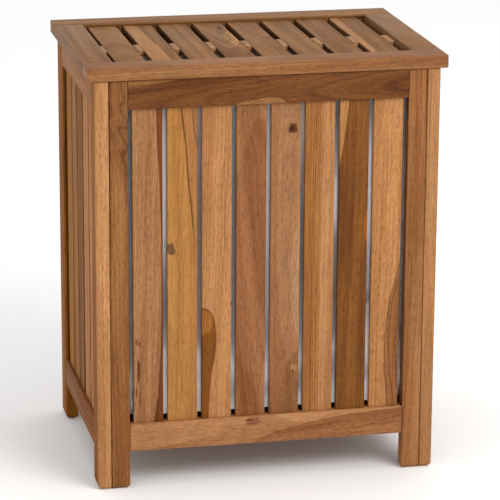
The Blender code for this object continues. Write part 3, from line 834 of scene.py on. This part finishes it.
BACK_RAIL_SEED = 70
BACK_SLAT_SEED = 80
BODY_OF = {node: body for body, nodes in frame["record"]["behaviour"]["bodies"].items() for node in nodes}
SLOT_OF = {row["node"]: row["material_slot"] for row in frame["record"]["subparts"]}


def foot_sides_of(node):
    """Which sides of a board's foot are chamfered: all but the side glued to its neighbour."""
    sign = -1 if node.endswith("left") else 1
    if node.startswith("leg_rear"):
        return (-1, 1)
    if node.startswith("leg_front"):
        return (sign,)
    if node.startswith("front_stile"):
        return (-sign,)
    return None


def wooden(name, node, low, high, tenon_axis, inserts, seed):
    """One finished board that stands for a CAD node, or for a share of it."""
    made = board(name + "_wood", low, high, tenon_axis, foot_sides_of(node))
    cut_mortises(made, low, high, inserts)
    deep, across, along = sorted(range(3), key=lambda i: high[i] - low[i])
    look = look_of(name, SLOT_OF[node], seed)
    made.data.materials.clear()
    made.data.materials.append(teak("teak_" + name, (across, deep, along), look, seed))
    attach(made, BODY_OF[node])
    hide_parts(node)
    return made


def lid_laps():
    """The batten's lower half and the slats' upper halves, which each cut the other where they cross."""
    low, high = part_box("lid_batten")
    middle = (low.z + high.z) / 2
    past = Vector((0, 0, LAP_OVERRUN))
    batten_half = [(low - past, Vector((high.x, high.y, middle - GAP / 2)))]
    slat_halves = []
    for i in range(1, SLATS + 1):
        s_low, s_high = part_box(f"lid_slat_{i}")
        slat_halves.append((Vector((s_low.x, s_low.y, middle + GAP / 2)), s_high + past))
    return batten_half, slat_halves


def frame_boards():
    nodes = sorted(frame["nodes"])
    slats = [n for n in nodes if "_slat_" in n]
    rails = [n for n in nodes if "_rail_" in n and not n.startswith("lid_rail")]
    inserts = {"frame": back_tenons(), "lid": []}
    tenon_axis = {}
    for node in rails:
        tenon_axis[node] = Y if node.startswith(("side", "lid_end")) else X
        inserts[BODY_OF[node]] += tenons_of(*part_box(node), tenon_axis[node])
    for node in slats:
        inserts[BODY_OF[node]].append(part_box(node))
    batten_half, slat_halves = lid_laps()
    for seed, node in enumerate(nodes):
        if node in ("liner_bag", "back_panel") or node.startswith("hinge"):
            continue
        low, high = visible_box(*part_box(node), tenon_axis.get(node))
        if node.startswith("lid_slat"):
            takes = batten_half
        elif node == "lid_batten":
            takes = slat_halves
        elif node in slats or "floor" in node:
            takes = []
        else:
            takes = inserts[BODY_OF[node]]
        own = tenons_of(*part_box(node), tenon_axis[node]) if node in tenon_axis else []
        takes = [b for b in takes if all((b[0] - o[0]).length > TINY for o in own)]
        wooden(node, node, low, high, tenon_axis.get(node), takes, seed)


def back_rails():
    """The (low, high) boxes of the back panel's bottom and top rails, tenons included."""
    low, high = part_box("back_panel")
    rail_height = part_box("front_rail_top")[1].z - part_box("front_rail_top")[0].z
    return (
        (low, Vector((high.x, high.y, low.z + rail_height))),
        (Vector((low.x, low.y, high.z - rail_height)), high),
    )


def back_tenons():
    return [tenon for box in back_rails() for tenon in tenons_of(*box, X)]


def back_panel():
    """The back panel's rails and slats as the separate boards that they are."""
    slat_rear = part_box("back_panel")[1].y - SLAT_RECESS
    slats = []
    for i in range(1, SLATS + 1):
        low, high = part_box(f"front_slat_{i}")
        low.y, high.y = slat_rear - (high.y - low.y), slat_rear
        slats.append((low, high))
    for i, (level, box) in enumerate(zip(("bottom", "top"), back_rails())):
        low, high = visible_box(*box, X)
        wooden(f"back_rail_{level}", "back_panel", low, high, X, slats, BACK_RAIL_SEED + i)
    for i, (low, high) in enumerate(slats):
        wooden(f"back_slat_{i + 1}", "back_panel", low, high, None, [], BACK_SLAT_SEED + i)


# ---------------------------------------------------------------- cloth liner
HEM_THICK = 0.0014
HEM_CLOTH = 0.0009
HEM_HEIGHT = 0.022
LINER_RADIUS = 0.058
LINER_COLUMNS = 220
LINER_ROWS = 76
LINER_SLACK = 0.012
LINER_FRAMES = 18
CLOTH_THICK = 0.0007
CLEAR = 0.0007
HEM_SAG = 0.0022
RAIL_CLEAR = 0.004
EASE = 0.012
LONG_LOOPS = (-0.185, -0.065, 0.065, 0.185)
SIDE_LOOPS = (-0.085, 0.085)


def rounded_loop(low, high, radius, count):
    """Points spaced evenly round a rounded rectangle in plan, each with its outward direction."""
    half_x, half_y = (high.x - low.x) / 2 - radius, (high.y - low.y) / 2 - radius
    centre_x, centre_y = (high.x + low.x) / 2, (high.y + low.y) / 2
    arc = math.pi / 2 * radius
    sides = [
        ((half_x, -half_y), (1, 0), (0, 1), 2 * half_y),
        ((half_x, half_y), (0, 1), (-1, 0), 2 * half_x),
        ((-half_x, half_y), (-1, 0), (0, -1), 2 * half_y),
        ((-half_x, -half_y), (0, -1), (1, 0), 2 * half_x),
    ]
    total = 4 * (half_x + half_y) + 4 * arc
    points = []
    for i in range(count):
        s = i / count * total
        for (cx, cy), (nx, ny), (tx, ty), straight in sides:
            if s < straight:
                points.append((cx + nx * radius + tx * s, cy + ny * radius + ty * s, nx, ny))
                break
            s -= straight
            if s < arc:
                turn = s / radius
                ox = nx * math.cos(turn) + tx * math.sin(turn)
                oy = ny * math.cos(turn) + ty * math.sin(turn)
                end_x, end_y = cx + tx * straight, cy + ty * straight
                points.append((end_x + ox * radius, end_y + oy * radius, ox, oy))
                break
            s -= arc
    return [(centre_x + x, centre_y + y, nx, ny) for x, y, nx, ny in points], total


def ripple(x, y, z, scale, seed):
    return noise.noise(Vector((x * scale + seed, y * scale, z * scale)))


# The front's soft folds, as (x, z, half width, half height, push towards the slats), in metres.
FRONT_FOLDS = (
    (-0.152, 0.45, 0.022, 0.12, 0.011), (-0.152, 0.262, 0.022, 0.035, -0.014),
    (-0.102, 0.34, 0.026, 0.11, -0.012), (-0.102, 0.50, 0.018, 0.05, 0.003),
    (-0.052, 0.40, 0.026, 0.16, -0.011), (0.0, 0.38, 0.022, 0.20, 0.007),
    (0.050, 0.50, 0.018, 0.05, 0.004), (0.050, 0.33, 0.026, 0.09, -0.013),
    (0.100, 0.53, 0.018, 0.04, -0.014), (0.100, 0.40, 0.020, 0.045, 0.013),
    (0.100, 0.27, 0.024, 0.060, -0.014), (0.152, 0.40, 0.022, 0.11, 0.011),
    (0.152, 0.53, 0.020, 0.03, -0.005), (0.150, 0.19, 0.022, 0.05, 0.008),
)
FRONT_DEPTH = 0.03
FRONT_EASE = 0.015
FOOT_BULGE = 0.0095
FOOT_BULGE_HEIGHT = 0.085
FOOT_BULGE_MIDDLE = 0.28
FOOT_FILL = 0.007
WALL_RIPPLE = 0.004
WALL_TAPER = 0.004
CREASE_PLACE = (0.1446, 0.2535)
CREASE_DEPTH = 0.009
CREASE_HALF = (0.016, 0.007)
CREASE_LIP = 0.013


def foot_lean(height):
    """How far the bag's foot leans out at this height over its bottom, as a share of 1."""
    return max(0.0, 1 - (height / FOOT_BULGE_HEIGHT - FOOT_BULGE_MIDDLE) ** 2)


def front_fold(x, z):
    """How far the front's folds push the cloth towards the slats at this place."""
    total = 0.0
    for at_x, at_z, half_width, half_height, push in FRONT_FOLDS:
        dx, dz = (x - at_x) / half_width, (z - at_z) / half_height
        total += push * math.exp(-dx * dx - dz * dz)
    return total


def liner_wall(low, high):
    """The bag's side as it is sewn and creased by use, before it settles."""
    loop, around = rounded_loop(low, high, LINER_RADIUS, LINER_COLUMNS)
    points, flat = [], []
    tall = high.z - low.z
    for j in range(LINER_ROWS + 1):
        share = j / LINER_ROWS
        for i, (x, y, nx, ny) in enumerate(loop):
            z = low.z + tall * share
            below_hem = max(0.0, 1 - share / (1 - HEM_HEIGHT / tall))
            push = WALL_RIPPLE * ripple(x, y, z, 22, 3)
            push = push * min(1, below_hem * 8) + FOOT_BULGE * foot_lean(tall * share)
            taper = WALL_TAPER * max(0, 1 - share * 30)
            sag = HEM_SAG * share * (0.5 + 0.5 * ripple(x, y, 0, 14, 8))
            points.append((x + nx * (push - taper), y + ny * (push - taper), z - sag))
            flat.append((i / LINER_COLUMNS * around, z, 0.0))
    return points, ring_faces(LINER_ROWS + 1, LINER_COLUMNS), flat, around


def add_folds(made, low):
    """Gives the settled bag the soft folds of its front, and the fuller foot that meets the slats."""
    for vert in made.data.vertices:
        x, y, z = vert.co
        if y > low.y + FRONT_DEPTH:
            continue
        facing = min(1.0, (low.y + FRONT_DEPTH - y) / FRONT_EASE)
        vert.co.y -= facing * (front_fold(x, z) + FOOT_FILL * foot_lean(z - low.z))


def liner_walls():
    """Plates where the slats' inner faces are, for the cloth to lean on while it settles."""
    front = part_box("front_slat_1")[1].y
    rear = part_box("back_panel")[1].y - SLAT_RECESS - SLAT_THICK
    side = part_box("side_slat_right_1")[0].x
    reach, tall, thick = 0.3, 0.6, 0.02
    walls = []
    for low, high in (
        ((-reach, front - thick, 0), (reach, front, tall)),
        ((-reach, rear, 0), (reach, rear + thick, tall)),
        ((-side - thick, -reach, 0), (-side, reach, tall)),
        ((side, -reach, 0), (side + thick, reach, tall)),
    ):
        bm = bmesh.new()
        add_box(bm, low, high)
        wall = link("settle_wall", bm)
        wall.modifiers.new("stop", "COLLISION")
        wall.collision.thickness_outer = 0.001
        walls.append(wall)
    return walls


CLOTH = {
    "quality": 6, "mass": 0.012, "tension_stiffness": 12, "compression_stiffness": 12, "shear_stiffness": 4,
    "bending_stiffness": 0.4, "air_damping": 4, "vertex_group_mass": "held", "shrink_min": -LINER_SLACK,
    "use_pressure": True, "uniform_pressure_force": 0.02,
}


def settle(made, pinned):
    """Lets the sewn bag fill out and hang in folds, with its hem and its bottom edge held."""
    group = made.vertex_groups.new(name="held")
    group.add(pinned, 1.0, "REPLACE")
    cloth = made.modifiers.new("cloth", "CLOTH")
    for key, value in CLOTH.items():
        setattr(cloth.settings, key, value)
    cloth.collision_settings.use_collision = True
    cloth.collision_settings.distance_min = 0.001
    walls = liner_walls()
    scene = bpy.context.scene
    for number in range(1, LINER_FRAMES + 1):
        scene.frame_set(number)
    evaluated = made.evaluated_get(bpy.context.evaluated_depsgraph_get())
    settled = [tuple(vert.co) for vert in evaluated.data.vertices]
    made.modifiers.clear()
    for wall in walls:
        bpy.data.objects.remove(wall)
    scene.frame_set(1)
    for vert, co in zip(made.data.vertices, settled):
        vert.co = co


def soft_limit(value, limit, soft=0.003):
    """value, eased so that it never passes limit."""
    over = value - (limit - soft)
    return value if over <= 0 else limit - soft + soft * math.tanh(over / soft)


def keep_inside(made):
    """Holds the bag clear of the slats that it leans on."""
    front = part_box("front_slat_1")[1].y + CLEAR
    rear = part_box("back_panel")[1].y - SLAT_RECESS - SLAT_THICK - CLEAR
    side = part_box("side_slat_right_1")[0].x - CLEAR
    stile_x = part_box("front_stile_right")[0].x - CLEAR
    stile_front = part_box("front_stile_right")[1].y + CLEAR
    stile_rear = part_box("back_stile_right")[0].y - CLEAR
    rail_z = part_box("front_rail_top")[0].z - RAIL_CLEAR
    side_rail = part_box("side_rail_top_right")[0].x - CLEAR
    for vert in made.data.vertices:
        x, y, z = vert.co
        high = min(1.0, max(0.0, (z - rail_z) / EASE + 1))
        beside = min(1.0, max(high, (abs(x) - stile_x) / EASE + 1))
        y_front = front + (stile_front - front) * beside
        y_rear = rear + (stile_rear - rear) * beside
        x_most = side + (side_rail - side) * high
        y = -soft_limit(-y, -y_front) if y < 0 else soft_limit(y, y_rear)
        x = math.copysign(soft_limit(abs(x), x_most), x)
        vert.co = (x, y, z)


def add_crease(made):
    """A pinched fold in the front of the bag: a pocket with a lip under it."""
    x, z = CREASE_PLACE
    for vert in made.data.vertices:
        if vert.co.y > -0.1:
            continue
        dx, dz = (vert.co.x - x) / CREASE_HALF[0], (vert.co.z - z) / CREASE_HALF[1]
        lip = (vert.co.z - z + CREASE_LIP) / 0.005
        pocket = math.exp(-dx * dx - dz * dz)
        vert.co.y += CREASE_DEPTH * pocket - CREASE_DEPTH * 0.35 * math.exp(-dx * dx - lip * lip)


def store_flat(mesh, flat):
    """Keeps each point's place on the flat cloth, which the weave follows."""
    attribute = mesh.attributes.new("flat", "FLOAT_VECTOR", "POINT")
    attribute.data.foreach_set("vector", [value for place in flat for value in place])


def cloth_material(name, colour, threads):
    """A plain weave that follows the cloth's own flat coordinates."""
    n = Nodes(name)
    flat = n.tree.nodes.new("ShaderNodeAttribute")
    flat.attribute_name = "flat"
    across, up, _ = n.parts(flat.outputs["Vector"])
    uneven = n.noise(n.xyz(n.mul(across, 260), n.mul(up, 260), 0.0))
    warp = n.math("SINE", n.mul(n.add(across, n.mul(uneven, 0.00012)), 2 * math.pi * threads))
    weft = n.math("SINE", n.mul(n.add(up, n.mul(uneven, 0.00012)), 2 * math.pi * threads))
    over = n.mul(warp, weft)
    height = n.add(n.mul(over, 0.5), n.mul(n.add(n.mul(warp, warp), n.mul(weft, weft)), 0.3))
    slub = n.noise(n.xyz(n.mul(across, 40), n.mul(up, 900), 0.0), 3.0)
    slub_up = n.noise(n.xyz(n.mul(across, 900), n.mul(up, 40), 5.0), 3.0)
    shade = n.mul(n.span(n.add(slub, slub_up), 0.7, 1.3, 0.93, 1.05), n.span(height, -0.3, 1.0, 0.93, 1.04))
    n.put(n.shader.inputs["Base Color"], n.grey(colour, shade))
    n.shader.inputs["Roughness"].default_value = 0.9
    n.shader.inputs["Specular IOR Level"].default_value = 0.2
    n.shader.inputs["Sheen Weight"].default_value = 0.25
    n.shader.inputs["Sheen Roughness"].default_value = 0.5
    n.bump(0.5, 0.0002, height)
    return n.material


def thicken(made, thick, offset):
    solid = made.modifiers.new("thick", "SOLIDIFY")
    solid.thickness = thick
    solid.offset = offset
    fine = made.modifiers.new("fine", "SUBSURF")
    fine.levels = fine.render_levels = 1
    apply_modifiers(made).shade_smooth()


def cloth_piece(name, points, faces, flat, material):
    mesh = bpy.data.meshes.new(name)
    mesh.from_pydata(points, [], faces)
    store_flat(mesh, flat)
    mesh.materials.append(material)
    return add_object(name, mesh)


def ribbon(name, path, wide, sideways, material):
    """A strip of webbing along a path, with its width along the sideways direction."""
    points, faces, flat = [], [], []
    steps = 4
    length = 0.0
    for j, place in enumerate(path):
        if j:
            length += (Vector(place) - Vector(path[j - 1])).length
        for i in range(steps + 1):
            off = (i / steps - 0.5) * wide
            points.append(tuple(Vector(place) + Vector(sideways) * off))
            flat.append((off, length, 0.0))
    for j in range(len(path) - 1):
        for i in range(steps):
            a = j * (steps + 1) + i
            faces.append((a, a + 1, a + steps + 2, a + steps + 1))
    made = cloth_piece(name, points, faces, flat, material)
    thicken(made, 0.0008, 0)
    return made


def tube(name, path, radius, material, closed=False):
    curve = bpy.data.curves.new(name, "CURVE")
    curve.dimensions = "3D"
    line = curve.splines.new("POLY")
    line.points.add(len(path) - 1)
    for point, place in zip(line.points, path):
        point.co = (*place, 1)
    line.use_cyclic_u = closed
    curve.bevel_depth = radius
    curve.bevel_resolution = 3
    curve.use_fill_caps = True
    drawn = add_object(name, curve)
    graph = bpy.context.evaluated_depsgraph_get()
    mesh = bpy.data.meshes.new_from_object(drawn.evaluated_get(graph))
    bpy.data.objects.remove(drawn)
    mesh.materials.clear()
    mesh.materials.append(material)
    mesh.shade_smooth()
    return add_object(name, mesh)


HOOK_RADIUS = 0.0009
HOOK_BEND = 0.0022
HOOK_RUN = 0.0012
HOOK_ROOT = 0.006
HOOK_TIP = 0.0052
HOOK_STEPS = 6
HOOK_ABOVE_HEM = 0.0105
TAPE_WIDE = 0.012
TAPE_BELOW_HEM = 0.013
TAPE_STEPS = 5
TAPE_TURNS = 8


def hang_loops(low, high, cotton, steel):
    """Small hooks in the inner faces of the top rails, and the loop of tape that hangs on each."""
    hem_out = {"front": low.y, "rear": high.y, "left": low.x, "right": high.x}
    rail_in = {
        "front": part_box("front_rail_top")[1].y,
        "rear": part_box("back_panel")[0].y,
        "left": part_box("side_rail_top_left")[1].x,
        "right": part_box("side_rail_top_right")[0].x,
    }
    spots = [(side, x) for side in ("front", "rear") for x in LONG_LOOPS]
    spots += [(side, y) for side in ("left", "right") for y in SIDE_LOOPS]
    wire_z = high.z + HOOK_ABOVE_HEM
    bottom = high.z - TAPE_BELOW_HEM
    loops, hooks = [], []
    for number, (side, along) in enumerate(spots):
        inward = 1 if side in ("front", "left") else -1
        face, hem = rail_in[side], hem_out[side]

        def at(depth, z):
            if side in ("front", "rear"):
                return (along, depth, z)
            return (depth, along, z)

        centre = hem + inward * 0.0022
        path = [at(face - inward * HOOK_ROOT, wire_z), at(centre + inward * HOOK_RUN, wire_z)]
        for i in range(1, HOOK_STEPS + 1):
            turn = math.pi / 2 * i / HOOK_STEPS
            reach, rise = HOOK_BEND * math.sin(turn), HOOK_BEND * (1 - math.cos(turn))
            path.append(at(centre + inward * (HOOK_RUN + reach), wire_z + rise))
        path.append(at(centre + inward * (HOOK_RUN + HOOK_BEND), wire_z + HOOK_TIP))
        hooks.append(tube(f"liner_hook_{number + 1}", path, HOOK_RADIUS, steel))

        # the tape goes up outside the hem, over the wire and down inside
        tape = []
        shares = [i / TAPE_STEPS for i in range(TAPE_STEPS + 1)]
        for share in shares:
            tape.append(at(hem + inward * (0.0016 * share - 0.0007), bottom + (wire_z - bottom) * share))
        for i in range(1, TAPE_TURNS):
            turn = math.pi * i / TAPE_TURNS
            tape.append(at(centre - inward * 0.0013 * math.cos(turn), wire_z + 0.0016 * math.sin(turn)))
        for share in reversed(shares):
            tape.append(at(hem + inward * (0.0031 + 0.0004 * share), bottom + (wire_z - bottom) * share))
        sideways = (1, 0, 0) if side in ("front", "rear") else (0, 1, 0)
        loops.append(ribbon(f"liner_loop_{number + 1}", tape, TAPE_WIDE, sideways, cotton))
    return hooks, loops


BASE_RINGS = 16
BASE_SAG = 0.0035
BASE_WRINKLE = 0.0022
SEAM_RADIUS = 0.0011


def liner(steel):
    """The hanging bag: side wall, base, hem, seam and the loops and hooks that carry it."""
    low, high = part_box("liner_bag")
    low += Vector((HEM_THICK, HEM_THICK, 0.003))
    high -= Vector((HEM_THICK, HEM_THICK, 0))
    cotton = cloth_material("liner_cotton", (0.86, 0.87, 0.90, 1), 1100)
    tape = cloth_material("liner_tape", (0.80, 0.81, 0.84, 1), 1500)
    points, faces, flat, around = liner_wall(low, high)
    wall = cloth_piece("liner_wall", points, faces, flat, cotton)
    tall = high.z - low.z
    pinned = [i for i, place in enumerate(flat) if place[1] > high.z - HEM_HEIGHT]
    settle(wall, pinned + list(range(LINER_COLUMNS)))
    add_folds(wall, low)
    keep_inside(wall)
    add_crease(wall)
    bottom = [wall.data.vertices[i].co.copy() for i in range(LINER_COLUMNS)]
    top = [[wall.data.vertices[j * LINER_COLUMNS + i].co.copy() for i in range(LINER_COLUMNS)]
           for j in range(LINER_ROWS + 1) if low.z + tall * j / LINER_ROWS > high.z - HEM_HEIGHT]
    thicken(wall, CLOTH_THICK, -1)

    # the base is sewn to the wall's lower edge and sags a little
    centre = sum(bottom, Vector()) / len(bottom)
    points, flat = [], []
    for j in range(BASE_RINGS):
        share = 1 - j / BASE_RINGS
        for place in bottom:
            spot = centre + (place - centre) * share
            wrinkle = BASE_WRINKLE * ripple(spot.x, spot.y, 0, 26, 5) * (1 - share ** 6)
            spot.z += wrinkle - BASE_SAG * (1 - share * share)
            points.append(tuple(spot))
            flat.append((spot.x, spot.y, 0.0))
    points.append((centre.x, centre.y, centre.z - BASE_SAG))
    flat.append((centre.x, centre.y, 0.0))
    faces = ring_faces(BASE_RINGS, LINER_COLUMNS, flip=True)
    last = (BASE_RINGS - 1) * LINER_COLUMNS
    for i in range(LINER_COLUMNS):
        faces.append((last + (i + 1) % LINER_COLUMNS, last + i, len(points) - 1))
    base = cloth_piece("liner_base", points, faces, flat, cotton)
    thicken(base, CLOTH_THICK, -1)
    seam = tube("liner_base_seam", [tuple(p) for p in bottom], SEAM_RADIUS, tape, closed=True)
    store_flat(seam.data, [(v.co.x + v.co.y, v.co.z, 0.0) for v in seam.data.vertices])

    # the hem is the top of the wall folded over and stitched
    points, flat = [], []
    rows = len(top)
    for j, row in enumerate(top):
        for i, place in enumerate(row):
            out = Vector((place.x - centre.x, place.y - centre.y, 0)).normalized()
            edge = math.sin(math.pi * min(1, (j + 0.35) / rows * 1.1))
            points.append(tuple(place + out * (0.0001 + 0.0006 * max(edge, 0))))
            flat.append((i / LINER_COLUMNS * around, place.z, 0.0))
    hem = cloth_piece("liner_hem", points, ring_faces(rows, LINER_COLUMNS), flat, cotton)
    thicken(hem, HEM_CLOTH, 0)
    hooks, loops = hang_loops(low, high, tape, steel)

    for piece in (wall, base, seam, hem, *loops):
        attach(piece, "frame")
    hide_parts("liner_bag")
    for hook in hooks:
        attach(hook, "frame")


# ---------------------------------------------------------------- steel
def steel_material(name, colour, rough):
    n = Nodes(name)
    place = n.node("ShaderNodeTexCoord", OBJECT_PLACE)
    x, y, z = n.parts(place)
    brushed = n.noise(n.xyz(n.mul(x, 60), n.mul(y, 2600), n.mul(z, 2600)), 2.0, 0.6)
    stain = n.noise(place, 3.0, 0.6, scale=240.0)
    n.put(n.shader.inputs["Base Color"], n.grey(colour, n.span(stain, 0.3, 0.7, 0.93, 1.04)))
    n.put(n.shader.inputs["Roughness"], n.span(brushed, 0.25, 0.75, rough - 0.05, rough + 0.1))
    n.shader.inputs["Metallic"].default_value = 1.0
    n.bump(0.15, 0.0001, brushed)
    return n.material


SCREW_SIDES = 28
HINGE_SCREW = 0.0024
HINGE_SCREW_IN = (0.008, 0.005)
WOOD_SCREW = 0.0028
SCREW_SEED = 41
LEAF_THICK = 0.0008
MOST_TURN = 1.5


def screw(name, place, outward, radius, body, steel, turn):
    """A countersunk screw's head with a cross recess, seated on a face that looks outward."""
    bm = bmesh.new()
    rings = ((0.0, -0.0012), (radius * 0.72, -0.0012), (radius * 0.97, -0.0002), (radius, 0.0),
             (radius * 0.96, 0.00018), (radius * 0.6, 0.0003), (0.0, 0.00034))
    turns = [2 * math.pi * i / SCREW_SIDES for i in range(SCREW_SIDES)]
    loops = []
    for size, z in rings:
        if size == 0:
            loops.append([bm.verts.new((0, 0, z))] * SCREW_SIDES)
            continue
        loops.append([bm.verts.new((size * math.cos(angle), size * math.sin(angle), z)) for angle in turns])
    for inner, outer in zip(loops, loops[1:]):
        for i in range(SCREW_SIDES):
            j = (i + 1) % SCREW_SIDES
            corners = []
            for vert in (inner[i], inner[j], outer[j], outer[i]):
                if vert not in corners:
                    corners.append(vert)
            bm.faces.new(corners)
    made = link(name, bm)
    bm = bmesh.new()
    arm, half = radius * 0.55, radius * 0.11
    add_box(bm, (-arm, -half, -0.0007), (arm, half, 0.001))
    add_box(bm, (-half, -arm, -0.0007), (half, arm, 0.001))
    cut_away(made, bm, own_overlaps=True)
    made.data.materials.clear()
    made.data.materials.append(steel)
    made.data.shade_smooth()
    made.data.set_sharp_from_angle(angle=math.radians(35))
    facing = Vector(outward).to_track_quat("Z", "Y")
    made.rotation_euler = (facing @ Euler((0, 0, turn)).to_quaternion()).to_euler()
    made.location = place
    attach(made, body)


def hardware(steel):
    """The hinges' steel, and the screws of the hinges and the floor."""
    chance = random.Random(SCREW_SEED)
    leaf_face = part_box("back_panel")[1].y + GAP + LEAF_THICK
    in_x, in_z = HINGE_SCREW_IN
    for side in ("left", "right"):
        for part, body in (("body_leaf", "frame"), ("lid_leaf", "lid"), ("pin", "frame")):
            node = frame["nodes"][f"hinge_{part}_{side}"]
            node.data.materials.clear()
            node.data.materials.append(steel)
            if part == "pin":
                continue
            low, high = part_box(f"hinge_{part}_{side}")
            z = low.z + in_z if part == "body_leaf" else high.z - in_z
            for i, x in enumerate((low.x + in_x, high.x - in_x)):
                screw(f"screw_hinge_{part}_{side}_{i + 1}", (x, leaf_face, z), (0, 1, 0),
                      HINGE_SCREW, body, steel, chance.uniform(0, MOST_TURN))
    for side in ("left", "right"):
        cleat_low, cleat_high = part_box(f"floor_cleat_{side}")
        inner = cleat_high.x if side == "left" else cleat_low.x
        way = 1 if side == "left" else -1
        for i, share in enumerate((0.1, 0.5, 0.9)):
            y = cleat_low.y + (cleat_high.y - cleat_low.y) * share
            screw(f"screw_cleat_{side}_{i + 1}", (inner, y, (cleat_low.z + cleat_high.z) / 2), (way, 0, 0),
                  WOOD_SCREW, "frame", steel, chance.uniform(0, MOST_TURN))
        x = (cleat_low.x + cleat_high.x) / 2
        for i in range(1, 6):
            board_low, board_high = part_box(f"floor_board_{i}")
            screw(f"screw_floor_{side}_{i}", (x, (board_low.y + board_high.y) / 2, board_high.z), (0, 0, 1),
                  WOOD_SCREW, "frame", steel, chance.uniform(0, MOST_TURN))


def main():
    camera()
    studio()
    steel = steel_material("hinge_steel_brushed", (0.58, 0.56, 0.53, 1), 0.32)
    frame_boards()
    back_panel()
    liner(steel)
    hardware(steel)


main()
